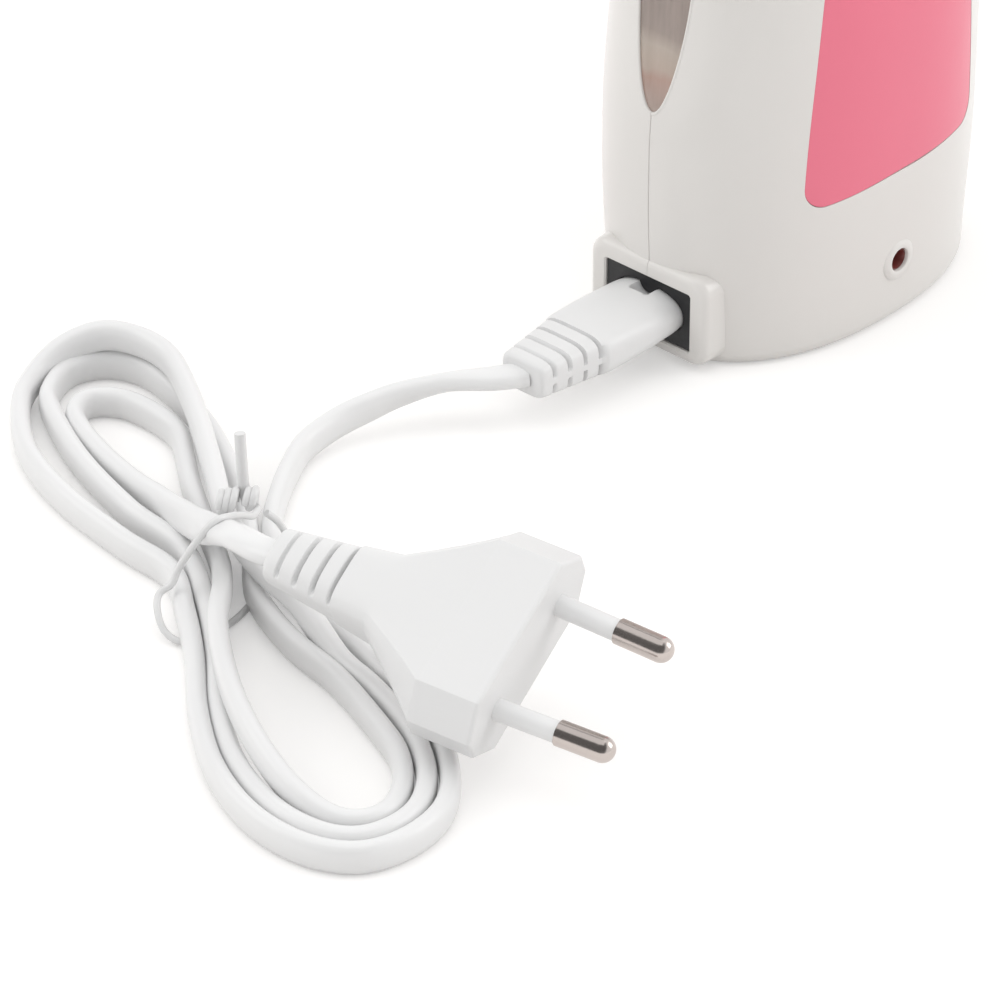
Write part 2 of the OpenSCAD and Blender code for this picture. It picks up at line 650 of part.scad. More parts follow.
module connector_body() {
  color([0.96, 0.96, 0.96]) difference() {
    union() {
      translate([nose_x, 0, inlet_z]) facing_front() linear_extrude(nose_l)
        connector_section(socket_waist - nose_gap);
      translate([eps - inlet_face, 0, inlet_z]) facing_front() linear_extrude(grip_l)
        connector_section(socket_r - nose_gap);
      translate([grip_x + 1, 0, inlet_z]) facing_front() linear_extrude(relief_l + 1)
        relief_rib(relief_core);
      for (i = [0:relief_ribs - 1])
        translate([grip_x - (i + 1) * relief_l / relief_ribs + relief_rib_w, 0, inlet_z]) facing_front()
          linear_extrude(relief_rib_w)
            relief_rib(relief_start + (relief_end - relief_start) * i / (relief_ribs - 1));
    }
    for (y = [-1, 1]) translate([nose_x + 1, y * pin_pitch / 2, inlet_z]) towards_inlet() {
      translate([0, 0, 1 + contact_lip]) cylinder(h = contact_l, d = contact_d, $fn = fine);
      cylinder(h = contact_l, d = inlet_pin_d + 2 * pin_hole_gap, $fn = fine);
    }
  }
}
module connector_contacts() {
  color([0.85, 0.7, 0.35]) for (y = [-1, 1])
    translate([nose_x - contact_lip, y * pin_pitch / 2, inlet_z]) towards_inlet() difference() {
      cylinder(h = contact_l, d = contact_d, $fn = fine);
      translate([0, 0, -1]) cylinder(h = contact_l + 2, d = inlet_pin_d + 2 * slide_gap, $fn = fine);
    }
}

// Mains plug, drawn along +X from its face and then laid in place
plug_at = [-130, -62.5, 17.8];
plug_turn = [27.5, 4.5, -77.5];
plug_block = 10.5;         // length of the block behind the face
plug_neck = 13;            // length of the taper behind the block
plug_len = 45.5;           // whole length to the end of the strain relief
plug_end_t = 5.4;          // thickness of the block's two narrow ends
plug_flat = 25;            // width of the block's flat top
module plug_place() { translate(plug_at) rotate(plug_turn) children(); }
module plug_face() {
  polygon([[-plug_w / 2, -plug_end_t / 2], [-plug_flat / 2, -plug_t / 2], [plug_flat / 2, -plug_t / 2],
    [plug_w / 2, -plug_end_t / 2], [plug_w / 2, plug_end_t / 2], [plug_flat / 2, plug_t / 2],
    [-plug_flat / 2, plug_t / 2], [-plug_w / 2, plug_end_t / 2]]);
}
// Puts a shape drawn in the X-Y plane across the plug: its x runs along the plug's width
module across_plug(x) { translate([x, 0, 0]) rotate([90, 0, -90]) children(); }
plug_neck_end = [13.4, 10.4, 2.5]; // section behind the taper: width, height and corner radius
plug_waist = [11.6, 9, 2.5];       // section at the start of the strain relief
plug_relief_l = 15.6;
plug_core = [6.6, 5.2, 2.2];
plug_ribs = 4;
plug_rib_w = 2.5;
plug_rib_first = [11.2, 8.8, 2.5];
plug_rib_last = [9, 7.2, 2.5];
module plug_slice(x, size) { across_plug(x) linear_extrude(eps) relief_rib(size); }
module plug_body() {
  color([0.96, 0.96, 0.96]) plug_place() difference() {
    union() {
      across_plug(0) linear_extrude(plug_block) plug_face();
      hull() {
        across_plug(eps - plug_block) linear_extrude(eps) plug_face();
        plug_slice(-plug_block - plug_neck, plug_neck_end);
      }
      hull() {
        plug_slice(eps - plug_block - plug_neck, plug_neck_end);
        plug_slice(plug_relief_l - plug_len, plug_waist);
      }
      across_plug(plug_relief_l - plug_len) linear_extrude(plug_relief_l) relief_rib(plug_core);
      for (i = [0:plug_ribs - 1])
        across_plug(plug_relief_l - plug_len - (i + 1) * plug_relief_l / plug_ribs + plug_rib_w)
          linear_extrude(plug_rib_w)
            relief_rib(plug_rib_first + (plug_rib_last - plug_rib_first) * i / (plug_ribs - 1));
    }
    for (y = [-1, 1]) pin_place(y) translate([-plug_block, 0, 0]) towards_back()
      cylinder(h = plug_block + 1, d = sleeve_d, $fn = fine);
  }
}
sleeve_d = 3.4;            // insulating sleeve on each pin
sleeve_l = 10;
core_d = 2.6;              // pin inside the sleeve
pin_lean = 1.6;            // degrees by which each pin leans inwards
module pin_place(y) { translate([0, y * plug_pin_pitch / 2, 0]) rotate([0, 0, -y * pin_lean]) children(); }
module pin_sleeves() {
  color([0.95, 0.95, 0.95]) plug_place() for (y = [-1, 1]) pin_place(y) translate([-plug_block, 0, 0])
    towards_back() difference() {
      cylinder(h = plug_block + sleeve_l, d = sleeve_d, $fn = fine);
      translate([0, 0, -1]) cylinder(h = plug_block + sleeve_l + 2, d = core_d, $fn = fine);
    }
}
module plug_pins() {
  color([0.78, 0.77, 0.75]) plug_place() for (y = [-1, 1]) pin_place(y) {
    translate([-plug_block, 0, 0]) towards_back()
      cylinder(h = plug_block + sleeve_l + 1, d = core_d, $fn = fine);
    translate([sleeve_l, 0, 0]) towards_back() cylinder(h = plug_pin_l - sleeve_l - plug_pin_d / 2, d =
      plug_pin_d, $fn = fine);
    translate([plug_pin_l - plug_pin_d / 2, 0, 0]) sphere(d = plug_pin_d, $fn = fine);
  }
}

// Cord: each point is [x, y, z, turn], and turn is 0 where the cord stands on edge
cord_z = cord_w / 2 + 0.1; // centre of a cord on edge on the table
run_points = [[connector_end, 0, inlet_z, 90], [-68, 3, 8.4, 80], [-72, 7.5, 7, 60], [-77, 12, 5, 35],
  [-82, 15, 3.8, 15], [-88.5, 16.8, cord_z, 0], [-96, 16, cord_z, 0], [-102, 13, cord_z, 0], [-107, 10,
    cord_z, 0],
  [-113.5, 6, cord_z, 0]];
upper_points = [[-128, 11, 0], [-127, 23, 0], [-122, 39.5, 0], [-115.5, 53.5, 0], [-107, 59.5, 0],
  [-101.5, 58.4, 0],
  [-99.8, 51, 0], [-100, 42, 0], [-103, 30, 0], [-110, 17, 0]];
lower_points = [[-126, -4, 0], [-130, -14, 0], [-133, -27, 0], [-137, -40, 0], [-143, -52, 0], [-150,
  -59.5, 0],
  [-158, -61.8, 0], [-166.2, -58, 0], [-166.8, -47, 0], [-162, -36, 0], [-154, -25, 0], [-146, -15, 0],
    [-138, -5, 0]];
neck_points = [[-132, -6, 0], [-126, 3, 0], [-119, 15, 0]];
tail_points = [[-121.5, 14.5, 8.6, 0], [-125, 10, 10.4, 10], [-129.5, 5.5, 12.5, 25], [-135, 0.5, 15.8, 50],
  [-139.5, -5, 19, 70], [-141.1, -12, 21, 85], [-139.8, -18, 21.3, 90]];
hank_w = 12;               // three cords side by side
hank_h = 5.3;
neck_w = 21;
neck_h = 8;
function unit(v) = v / norm(v);
function at(pts, i) = [pts[i].x, pts[i].y, pts[i].z];
function tangent(pts, i) = unit(at(pts, min(i + 1, len(pts) - 1)) - at(pts, max(i - 1, 0)));
// Solid swept along points that each may carry a turn, with a section of [side, up] pairs
module sweep(pts, section, ref = [0, 0, 1]) {
  n = len(section);
  rings = [for (i = [0:len(pts) - 1])
    let(t = tangent(pts, i), side = unit(cross(t, ref)), up = cross(side, t), q =
      len(pts[i]) > 3 ? pts[i][3] : 0)
    each [for (k = [n - 1:-1:0]) let(s = section[k])
      at(pts, i) + side * (s.x * cos(q) - s.y * sin(q)) + up * (s.x * sin(q) + s.y * cos(q))]];
  polyhedron(rings, ring_faces(len(pts), n), convexity = 8);
}
cord_section = [for (i = [0:7]) let(a = i * 45 + 22.5) [cord_t / 2 * cos(a) / cos(22.5),
  cord_w / 2 * sin(a) / cos(22.5)]];
function slab(w, h) = [[w / 2, 0.1], [w / 2, h], [-w / 2, h], [-w / 2, 0.1]];
module cord_run() { color([0.94, 0.94, 0.94]) sweep(run_points, cord_section); }
module cord_neck() { color([0.94, 0.94, 0.94]) sweep(neck_points, slab(neck_w, neck_h)); }
module cord_hank_upper() { color([0.94, 0.94, 0.94]) sweep(upper_points, slab(hank_w, hank_h)); }
module cord_hank_lower() { color([0.94, 0.94, 0.94]) sweep(lower_points, slab(hank_w, hank_h)); }
module cord_tail() { color([0.94, 0.94, 0.94]) sweep(tail_points, cord_section); }
tie_d = 1.4;
tie_mid = [-123, 3, 5.6];  // centre of the loop around the hank's neck
tie_half_w = 13;
tie_half_h = 4.8;
tie_dir = unit([0.93, 0.37, 0]);
tie_knot = [[-113.7, 6.7, 8.7], [-114, 8.5, 13], [-112.5, 10.5, 19]];
tie_loose = [[-134, -2, 5.5], [-139, -1, 4], [-142, -5, 2.5], [-141, -10, 1.5]];
module twist_tie() {
  color([0.9, 0.9, 0.92]) {
    wire([for (a = [0:20:360]) tie_mid + tie_half_w * cos(a) * tie_dir + [0, 0, tie_half_h * sin(a)]],
      tie_d);
    wire(tie_knot, tie_d);
    wire(tie_loose, tie_d);
  }
}

shell_near();
shell_far();
side_panel_near();
side_panel_far();
window_lens();
top_rim();
well_seat();
heating_well();
ceramic_heaters();
heater_band();
thermal_cutout();
lead_inlet();
inlet_pins();
live_wire();
neutral_wire();
lamp_wires();
indicator_lamp();
lamp_board();
housing_screws();
cartridge_tank();
cartridge_head();
roller_axle();
roller();
connector_body();
connector_contacts();
cord_run();
cord_neck();
cord_hank_upper();
cord_hank_lower();
cord_tail();
twist_tie();
plug_body();
pin_sleeves();
plug_pins();
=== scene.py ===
"""Roll-on wax warmer with its mains lead: the visible pieces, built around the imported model.

All sizes in the shape functions are millimetres. A mesh is scaled to metres when it becomes an object.
"""

import math

import bmesh
import bpy
from bpy.props import FloatProperty, FloatVectorProperty, PointerProperty
from bpy.types import Operator, Panel, PropertyGroup
from mathutils import Euler, Matrix, Vector


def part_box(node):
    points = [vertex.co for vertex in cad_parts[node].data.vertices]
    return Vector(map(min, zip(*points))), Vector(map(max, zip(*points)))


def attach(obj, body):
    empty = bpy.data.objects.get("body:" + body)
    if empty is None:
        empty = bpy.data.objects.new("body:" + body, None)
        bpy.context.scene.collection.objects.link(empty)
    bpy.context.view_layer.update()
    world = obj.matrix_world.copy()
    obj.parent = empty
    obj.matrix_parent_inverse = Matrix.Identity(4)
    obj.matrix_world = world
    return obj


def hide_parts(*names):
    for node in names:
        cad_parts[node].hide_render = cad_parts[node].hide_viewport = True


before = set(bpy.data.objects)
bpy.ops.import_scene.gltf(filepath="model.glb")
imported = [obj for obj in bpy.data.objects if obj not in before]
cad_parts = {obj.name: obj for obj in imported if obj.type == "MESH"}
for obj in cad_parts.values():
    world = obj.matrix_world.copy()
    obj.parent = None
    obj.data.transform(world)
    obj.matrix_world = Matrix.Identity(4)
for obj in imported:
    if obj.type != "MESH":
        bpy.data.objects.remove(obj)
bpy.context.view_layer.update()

bl_info = {
    "name": "Roll-on wax warmer",
    "version": (1, 0, 0),
    "blender": (4, 5, 0),
    "location": "View3D > Sidebar > Warmer",
    "description": "Builds a roll-on wax warmer with its mains lead around its packed model",
    "category": "Add Mesh",
}

MM = 0.001


# ---- body shape

NEAR_LO, NEAR_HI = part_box("shell_near")
BODY_L = (NEAR_HI.x - NEAR_LO.x) / MM
BODY_D = -2 * NEAR_LO.y / MM
BODY_H = NEAR_HI.z / MM
WALL = 2.2
FLOOR_T = 2.4
OVAL = 2.3
FOOT_R = 2.4
BASE_TAPER, BASE_RISE = 1.1, 30
FRONT_WAIST, BACK_WAIST, SIDE_WAIST = 3, 1.6, 1.4
LEAN, GRIP = (36, 70), (48, 92)
FLARE_LO, FLARE_PART = 108, 0.5
SEAM = 0.03                      # half the parting gap between the shells
SEAM_BEVEL = 0.1


def ease(t):
    k = min(max(t, 0.0), 1.0)
    return k * k * (3 - 2 * k)


def lean(z, span):
    back = ease((z - FLARE_LO) / (BODY_H - FLARE_LO))
    return ease((z - span[0]) / (span[1] - span[0])) - FLARE_PART * back


def taper(z):
    return BASE_TAPER * (1 - ease(z / BASE_RISE))


def front_x(z):
    return BODY_L / 2 - taper(z) - FRONT_WAIST * lean(z, LEAN)


def back_x(z):
    return BODY_L / 2 - taper(z) - BACK_WAIST * lean(z, GRIP)


def half_y(z):
    return BODY_D / 2 - taper(z) - SIDE_WAIST * lean(z, GRIP)


def foot_in(z):
    """How far the rounded bottom edge lies inside the section at height z."""
    k = max(FOOT_R - z, 0)
    return FOOT_R - math.sqrt(max(FOOT_R * FOOT_R - k * k, 0))


def signed_pow(v, p):
    return math.copysign(abs(v) ** p, v)


def oval(angle, z, inset):
    """Point of the body's section; angle 0 is the back and pi the inlet side."""
    c, s = math.cos(angle), math.sin(angle)
    reach = front_x(z) if c < 0 else back_x(z)
    return ((reach - inset) * signed_pow(c, 2 / OVAL), (half_y(z) - inset) * signed_pow(s, 2 / OVAL), z)


def skin_y(x, z, inset=0.0):
    reach = (front_x(z) if x < 0 else back_x(z)) - inset
    return (half_y(z) - inset) * (1 - min(abs(x) / reach, 1) ** OVAL) ** (1 / OVAL)


def skin_x(y, z, inset=0.0):
    """The inlet side's surface, as a negative x."""
    return -(front_x(z) - inset) * (1 - min(abs(y) / (half_y(z) - inset), 1) ** OVAL) ** (1 / OVAL)


# ---- mesh tools

class Shape:
    """Points and faces in millimetres, which become one mesh object."""

    def __init__(self):
        self.points, self.faces = [], []

    def loft(self, rings, closed=False):
        """Skin over rings of equally many points; closed joins the ends, which otherwise get a cap each."""
        base, n = len(self.points), len(rings[0])
        for ring in rings:
            self.points += ring
        rows = len(rings) if closed else len(rings) - 1
        for r in range(rows):
            lo, hi = base + r * n, base + (r + 1) % len(rings) * n
            self.faces += [(lo + i, lo + (i + 1) % n, hi + (i + 1) % n, hi + i) for i in range(n)]
        if not closed:
            end = len(self.points)
            self.faces += [tuple(range(base, base + n)), tuple(range(end - n, end))]
        return self

    def placed(self, matrix):
        self.points = [tuple(matrix @ Vector(p)) for p in self.points]
        return self

    def add(self, other):
        base = len(self.points)
        self.points += other.points
        self.faces += [tuple(i + base for i in face) for face in other.faces]
        return self

    def make(self, name):
        mesh = bpy.data.meshes.new(name)
        mesh.from_pydata([[c * MM for c in p] for p in self.points], [], self.faces)
        bm = bmesh.new()
        bm.from_mesh(mesh)
        bmesh.ops.recalc_face_normals(bm, faces=bm.faces)
        bm.to_mesh(mesh)
        bm.free()
        piece = bpy.data.objects.new(name, mesh)
        bpy.context.scene.collection.objects.link(piece)
        return piece


def settle(piece):
    """Applies the piece's modifiers to its mesh."""
    bpy.context.view_layer.update()
    graph = bpy.context.evaluated_depsgraph_get()
    mesh = bpy.data.meshes.new_from_object(piece.evaluated_get(graph))
    piece.modifiers.clear()
    old, piece.data = piece.data, mesh
    mesh.name = piece.name
    bpy.data.meshes.remove(old)


def carve(piece, *cutters):
    for cutter in cutters:
        cut = piece.modifiers.new("cut", "BOOLEAN")
        cut.operation, cut.solver, cut.object = "DIFFERENCE", "EXACT", cutter
    settle(piece)
    for cutter in cutters:
        bpy.data.objects.remove(cutter)


def round_edges(piece, width, segments=3, angle=35):
    bevel = piece.modifiers.new("rounded_edges", "BEVEL")
    bevel.width, bevel.segments = width * MM, segments
    bevel.limit_method, bevel.angle_limit = "ANGLE", math.radians(angle)
    bevel.use_clamp_overlap = True
    settle(piece)


def smooth(piece, angle=32):
    piece.data.shade_smooth()
    piece.data.set_sharp_from_angle(angle=math.radians(angle))
    normals = piece.modifiers.new("even_normals", "WEIGHTED_NORMAL")
    normals.keep_sharp = True


def dress(piece, body, slot, material, *replaced):
    """Gives a piece its material, its body and the model's nodes that it stands for."""
    piece.data.materials.clear()
    piece.data.materials.append(material)
    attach(piece, body)
    if replaced:
        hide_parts(*replaced)
    return piece


def resample(ring, n):
    """n points evenly spaced along a closed ring of (u, v) pairs."""
    lengths = [math.dist(ring[i], ring[(i + 1) % len(ring)]) for i in range(len(ring))]
    step, out, i, walked = sum(lengths) / n, [], 0, 0.0
    for k in range(n):
        while walked + lengths[i] < k * step and i < len(ring) - 1:
            walked += lengths[i]
            i += 1
        t = (k * step - walked) / lengths[i]
        a, b = ring[i], ring[(i + 1) % len(ring)]
        out.append((a[0] + (b[0] - a[0]) * t, a[1] + (b[1] - a[1]) * t))
    return out


def soft_box(w, h, power, n):
    """Even ring of n points round a box with very round corners."""
    fine = 720
    ring = [(w / 2 * signed_pow(math.cos(a), 2 / power), h / 2 * signed_pow(math.sin(a), 2 / power))
            for a in (2 * math.pi * i / fine for i in range(fine))]
    return resample(ring, n)


def round_rect(w, h, r, n):
    """Ring of a rectangle with corner radius r: 4 n points, n to a corner."""
    out = []
    for k, (sx, sy) in enumerate(((1, 1), (-1, 1), (-1, -1), (1, -1))):
        for i in range(n):
            a = (k + i / (n - 1)) * math.pi / 2
            out.append((sx * (w / 2 - r) + r * math.cos(a), sy * (h / 2 - r) + r * math.sin(a)))
    return out


def circle(r, n):
    return [(r * math.cos(a), r * math.sin(a)) for a in (2 * math.pi * i / n for i in range(n))]


def spun(profile):
    """Closed ring solid: (radius, height) pairs turned about the local z axis."""
    sides = 48
    rings = [[(r * u, r * v, h) for r, h in profile] for u, v in circle(1, sides)]
    return Shape().loft(rings, closed=True)


def curve_through(points, spacing):
    """Even points along a smooth curve through the given ones."""
    fine, dense = 24, []
    pts = [points[0]] + list(points) + [points[-1]]
    for i in range(1, len(pts) - 2):
        p0, p1, p2, p3 = (Vector(pts[i + k]) for k in (-1, 0, 1, 2))
        for k in range(fine):
            t = k / fine
            dense.append(0.5 * (2 * p1 + (p2 - p0) * t + (2 * p0 - 5 * p1 + 4 * p2 - p3) * t * t
                                + (3 * p1 - p0 - 3 * p2 + p3) * t ** 3))
    dense.append(Vector(points[-1]))
    total = sum((b - a).length for a, b in zip(dense, dense[1:]))
    count = max(round(total / spacing), 2)
    out, i, walked = [], 0, 0.0
    for k in range(count + 1):
        want = total * k / count
        while i < len(dense) - 2 and walked + (dense[i + 1] - dense[i]).length < want:
            walked += (dense[i + 1] - dense[i]).length
            i += 1
        step = (dense[i + 1] - dense[i]).length
        out.append(dense[i].lerp(dense[i + 1], min((want - walked) / step, 1)))
    return out


def swept(path, section, turn=None, closed=False):
    """Skin of (thickness, width) pairs along a path; turn gives the twist in degrees at each point.

    Without turn, an open path carries its section along without twist."""
    rings, n, side = [], len(path), None
    for i, p in enumerate(path):
        before = path[i - 1] if closed or i else p
        after = path[(i + 1) % n] if closed or i < n - 1 else p
        t = (after - before).normalized()
        if side and not turn and not closed:
            side = (side - t * side.dot(t)).normalized()
        else:
            side = t.cross(Vector((0, 0, 1)))
            side = side.normalized() if side.length > 0.05 else Vector((1, 0, 0))
        up = side.cross(t)
        q = math.radians(turn(i)) if turn else 0
        c, s = math.cos(q), math.sin(q)
        rings.append([tuple(p + side * (u * c - v * s) + up * (u * s + v * c)) for u, v in section])
    return Shape().loft(rings, closed=closed)


def tube(points, diameter, spacing=0.6):
    return swept(curve_through(points, spacing), circle(diameter / 2, 12))


# ---- material tools

class Value:
    """A socket of a material that takes Python's own arithmetic."""

    def __init__(self, finish, socket):
        self.finish, self.socket = finish, socket

    def maths(self, operation, *terms):
        return self.finish.node("Math", {"operation": operation}, dict(enumerate(terms)))

    def __add__(self, other):
        return self.maths("ADD", self, other)

    __radd__ = __add__

    def __sub__(self, other):
        return self.maths("SUBTRACT", self, other)

    def __rsub__(self, other):
        return self.maths("SUBTRACT", other, self)

    def __mul__(self, other):
        return self.maths("MULTIPLY", self, other)

    __rmul__ = __mul__


class Finish:
    """One material: its nodes are added by node(), and its shader by surface()."""

    def __init__(self, name):
        self.material = bpy.data.materials.new(name)
        self.material.use_nodes = True
        self.tree = self.material.node_tree
        self.tree.nodes.clear()
        self.place = self.node("TexCoord", {}, {}, "Object")

    def node(self, kind, settings, inputs, output=0):
        node = self.tree.nodes.new("ShaderNode" + kind)
        for key, setting in settings.items():
            if key == "stops":
                ramp = node.color_ramp.elements
                while len(ramp) < len(setting):
                    ramp.new(0.5)
                for stop, (where, tone) in zip(ramp, setting):
                    stop.position, stop.color = where, (*tone, 1)
            else:
                setattr(node, key, setting)
        for key, given in inputs.items():
            if isinstance(given, Value):
                self.tree.links.new(given.socket, node.inputs[key])
            else:
                node.inputs[key].default_value = given
        return Value(self, node.outputs[output])

    def stretched(self, x, y, z):
        """The place on the object, scaled along each axis."""
        return self.node("VectorMath", {"operation": "MULTIPLY"}, {0: self.place, 1: (x, y, z)})

    def noise(self, scale, detail=2.0, roughness=0.5, where=None):
        return self.node("TexNoise", {}, {"Vector": where or self.place, "Scale": scale, "Detail": detail,
                                          "Roughness": roughness})

    def ramp(self, factor, *stops):
        return self.node("ValToRGB", {"stops": stops}, {0: factor})

    def mixed(self, factor, a, b):
        def paint(c):
            return c if isinstance(c, Value) else (*c, 1)
        return self.node("Mix", {"data_type": "RGBA"}, {0: factor, 6: paint(a), 7: paint(b)}, 2)

    def bump(self, height, depth):
        return self.node("Bump", {}, {"Strength": 1.0, "Distance": depth, "Height": height})

    def rays(self, *kinds):
        """1 for rays of the given kinds and 0 for all others."""
        first, *others = (self.node("LightPath", {}, {}, f"Is {kind} Ray") for kind in kinds)
        for other in others:
            first = first.maths("MAXIMUM", first, other)
        return first

    def surface(self, inputs):
        inputs = {k: (*v, 1) if isinstance(v, tuple) and len(v) == 3 else v for k, v in inputs.items()}
        shader = self.node("BsdfPrincipled", {}, inputs)
        self.output(shader)
        return self.material

    def output(self, shader):
        out = self.tree.nodes.new("ShaderNodeOutputMaterial")
        self.tree.links.new(shader.socket, out.inputs["Surface"])


class Sky(Finish):
    """The world's nodes, with the same tools as a material's."""

    def __init__(self, tree):
        self.tree = tree
        self.place = self.node("TexCoord", {}, {}, "Generated")


def shade(colour, factor):
    return tuple(min(c * factor, 1.0) for c in colour)


def moulded(name, colour, roughness, grain=700, depth=0.00002, tint=0.97, coat=0.0, **fixed):
    """Moulded plastic: faint cloudiness in the colour, uneven gloss and a fine skin texture."""
    f = Finish(name)
    cloud = f.noise(26, 3)
    skin = f.noise(grain, 3, 0.6)
    wear = f.noise(140, 4, 0.65)
    paint = f.mixed(cloud, shade(colour, tint), shade(colour, 2 - tint) if max(colour) < 0.97 else colour)
    gloss = roughness - 0.05 + wear * 0.1
    normal = f.bump(skin + wear * 0.6, depth)
    return f.surface({"Base Color": paint, "Roughness": gloss, "Normal": normal, "Coat Weight": coat,
                      "Coat Roughness": 0.12, **fixed})


def metal(name, colour, roughness, along=(1, 1, 1)):
    """Metal with fine drawing marks stretched along one axis."""
    f, depth = Finish(name), 0.000006
    marks = f.noise(1400, 3, 0.7, f.stretched(*along))
    stain = f.noise(90, 4, 0.6)
    paint = f.mixed(stain, shade(colour, 0.86), colour)
    gloss = roughness - 0.06 + marks * 0.08 + stain * 0.05
    return f.surface({"Base Color": paint, "Metallic": 1.0, "Roughness": gloss,
                      "Normal": f.bump(marks, depth)})


# ---- sizes and colours

def length(name, mm, description):
    return FloatProperty(name=name, description=description, default=mm * MM, unit="LENGTH", precision=5)


def colour(name, rgb, description):
    return FloatVectorProperty(name=name, description=description, default=rgb, subtype="COLOR", size=3,
                               min=0.0, max=1.0)


class WarmerSizes(PropertyGroup):
    """Sizes of the visible pieces."""
    cord_width: length("Cord width", 5.2, "Width of the flat cord")
    cord_thickness: length("Cord thickness", 3.2, "Thickness of the flat cord")
    tie_diameter: length("Tie diameter", 1.4, "Diameter of the coated twist tie")
    window_inset: length("Window inset", 0.35, "How far the window lies behind the body's surface")
    panel_gap: length("Panel gap", 0.07, "Gap around each colour panel")
    panel_edge: length("Panel edge", 0.5, "Radius of each colour panel's edge")
    collar_edge: length("Collar edge", 1.4, "Radius of the collar's front edge")


class WarmerColours(PropertyGroup):
    """Colours of the visible pieces."""
    shell: colour("Shell", (0.765, 0.745, 0.72), "Glossy white of the body")
    panel: colour("Panel", (0.845, 0.185, 0.27), "Pink of the side panels")
    vinyl: colour("Lead", (0.83, 0.83, 0.83), "White of the cord, connector and plug")
    black: colour("Inlet", (0.012, 0.012, 0.014), "Black of the inlet")
    nickel: colour("Pins", (0.60, 0.54, 0.51), "Nickel of the plug's pins")
    window: colour("Window", (0.70, 0.58, 0.52), "Tint of the window")


def sizes():
    return {key: getattr(bpy.context.scene.warmer_sizes, key) / MM for key in WarmerSizes.__annotations__}


def colour_of(key):
    return tuple(getattr(bpy.context.scene.warmer_colours, key))


# ---- mains lead and camera

INLET_Z = 8.7
INLET_W, INLET_H = 18, 10.6
CONNECTOR_FACE = -33.9           # where the connector's nose enters the inlet
NOSE_TIP = -22.7
GRIP_END = -51.6
CONNECTOR_END = -63.9
NOSE = (14.2, 7.2, 1.8, 2.4)     # width, height, depth of the notch and squareness
NOTCH_R = 1.9
RING_N = 128                     # points round a section of the connector, the socket and the reliefs

# The cord's centreline, from the connector to the plug. Its strands run round the two loops of the hank.
CORD_ROUTE = [
    # from the connector, flat, down to the table
    (-62.9, 0, 8.7), (-67.5, 3.2, 8.6), (-72, 8.5, 7.8), (-77.5, 12.8, 6.4), (-82, 15, 5.3), (-88, 17, 4),
    (-95.5, 16.8, 3.1), (-102, 13.8, 2.7), (-107.2, 10.6, 2.7), (-113.5, 6, 2.7),
    # first strand of the lower loop
    (-118.5, 1, 2.7), (-124.5, -8, 2.7), (-127.5, -20, 2.7), (-131.5, -34, 2.7), (-136, -48.5, 2.7),
    (-143, -59, 2.7), (-150.5, -65, 2.7), (-159, -66.5, 2.7), (-166.5, -64, 2.7), (-170.5, -57, 2.7),
    (-170.5, -46.5, 2.7), (-166, -34.5, 2.7), (-158, -23, 2.7), (-148, -12, 2.7), (-140.5, -2.5, 2.7),
    # outer strand of the upper loop, which climbs over the neck
    (-134.5, 6.5, 2.7), (-133.5, 18, 2.7), (-131, 33.5, 2.7), (-126, 47, 2.7), (-117.5, 57.8, 2.7),
    (-111, 61.6, 3.6), (-104.5, 61.6, 6), (-99.3, 58, 8), (-96.6, 52, 8.1), (-97.2, 45, 8.1),
    (-100.7, 38, 8.1), (-106.5, 29, 8.1), (-115.5, 16.5, 8.1),
    # second strand of the lower loop
    (-123, 6.5, 8.1), (-127.5, -2.5, 8.1), (-130, -10, 8.1), (-131, -16, 7.6), (-132.5, -22, 5.6),
    (-134.5, -29.5, 3.2), (-136, -37.5, 2.7), (-139.8, -48, 2.7), (-145.5, -56.8, 2.7), (-152.3, -62, 2.7),
    (-158.6, -63.2, 2.7), (-164.3, -61.2, 2.7), (-167.2, -55.8, 2.7), (-167.1, -47, 2.7),
    (-162.8, -35.4, 2.7), (-155, -24.2, 2.7), (-145.2, -13.6, 2.7), (-136.4, -2.5, 2.7),
    # middle strand of the upper loop
    (-129, 9.5, 2.7), (-127, 23, 2.7), (-122, 39.5, 2.7), (-115, 53.5, 2.7), (-110.5, 58, 2.7),
    (-104.5, 60, 2.7), (-99, 57.5, 2.7), (-96.6, 51.3, 2.7), (-98, 43, 2.7), (-102, 31.5, 2.7),
    (-108, 20.5, 2.7),
    # third strand of the lower loop
    (-113.5, 12, 2.7), (-123, 1, 2.7), (-130, -7, 2.7), (-135, -19, 2.7), (-137.5, -31, 2.7),
    (-141.5, -42.5, 2.7), (-145.4, -51.2, 2.7), (-150.6, -56.9, 2.7), (-156.6, -59.9, 2.7),
    (-161.4, -58.6, 2.8), (-163.8, -54.4, 3.4), (-163.8, -47, 5.2), (-160.6, -37, 7.2), (-154.4, -26, 8),
    (-144.8, -13.8, 8), (-135, -4.8, 5.6), (-127.6, 3.2, 2.9),
    # inner strand of the upper loop, which runs the other way round
    (-121.5, 12.5, 2.7), (-115.5, 21.5, 2.7), (-110.5, 28, 2.7), (-106.5, 33.5, 2.7), (-105, 40, 2.7),
    (-105.5, 47, 2.7), (-109, 51, 2.7), (-113, 50, 2.7), (-116, 45.5, 2.7), (-119, 37, 2.7),
    (-121.2, 28, 3),
    # up over the neck and flat into the plug
    (-123.3, 20.5, 4.6), (-126.6, 12, 7.2), (-130.6, 3, 11), (-134.6, -4.8, 15.6), (-138, -11.5, 19.4),
    (-139.9, -18, 21.2), (-139.6, -21.5, 21.6),
]
FLAT_START, FLAT_END = 32.0, 48.0   # lengths over which the cord turns on edge, and flat again

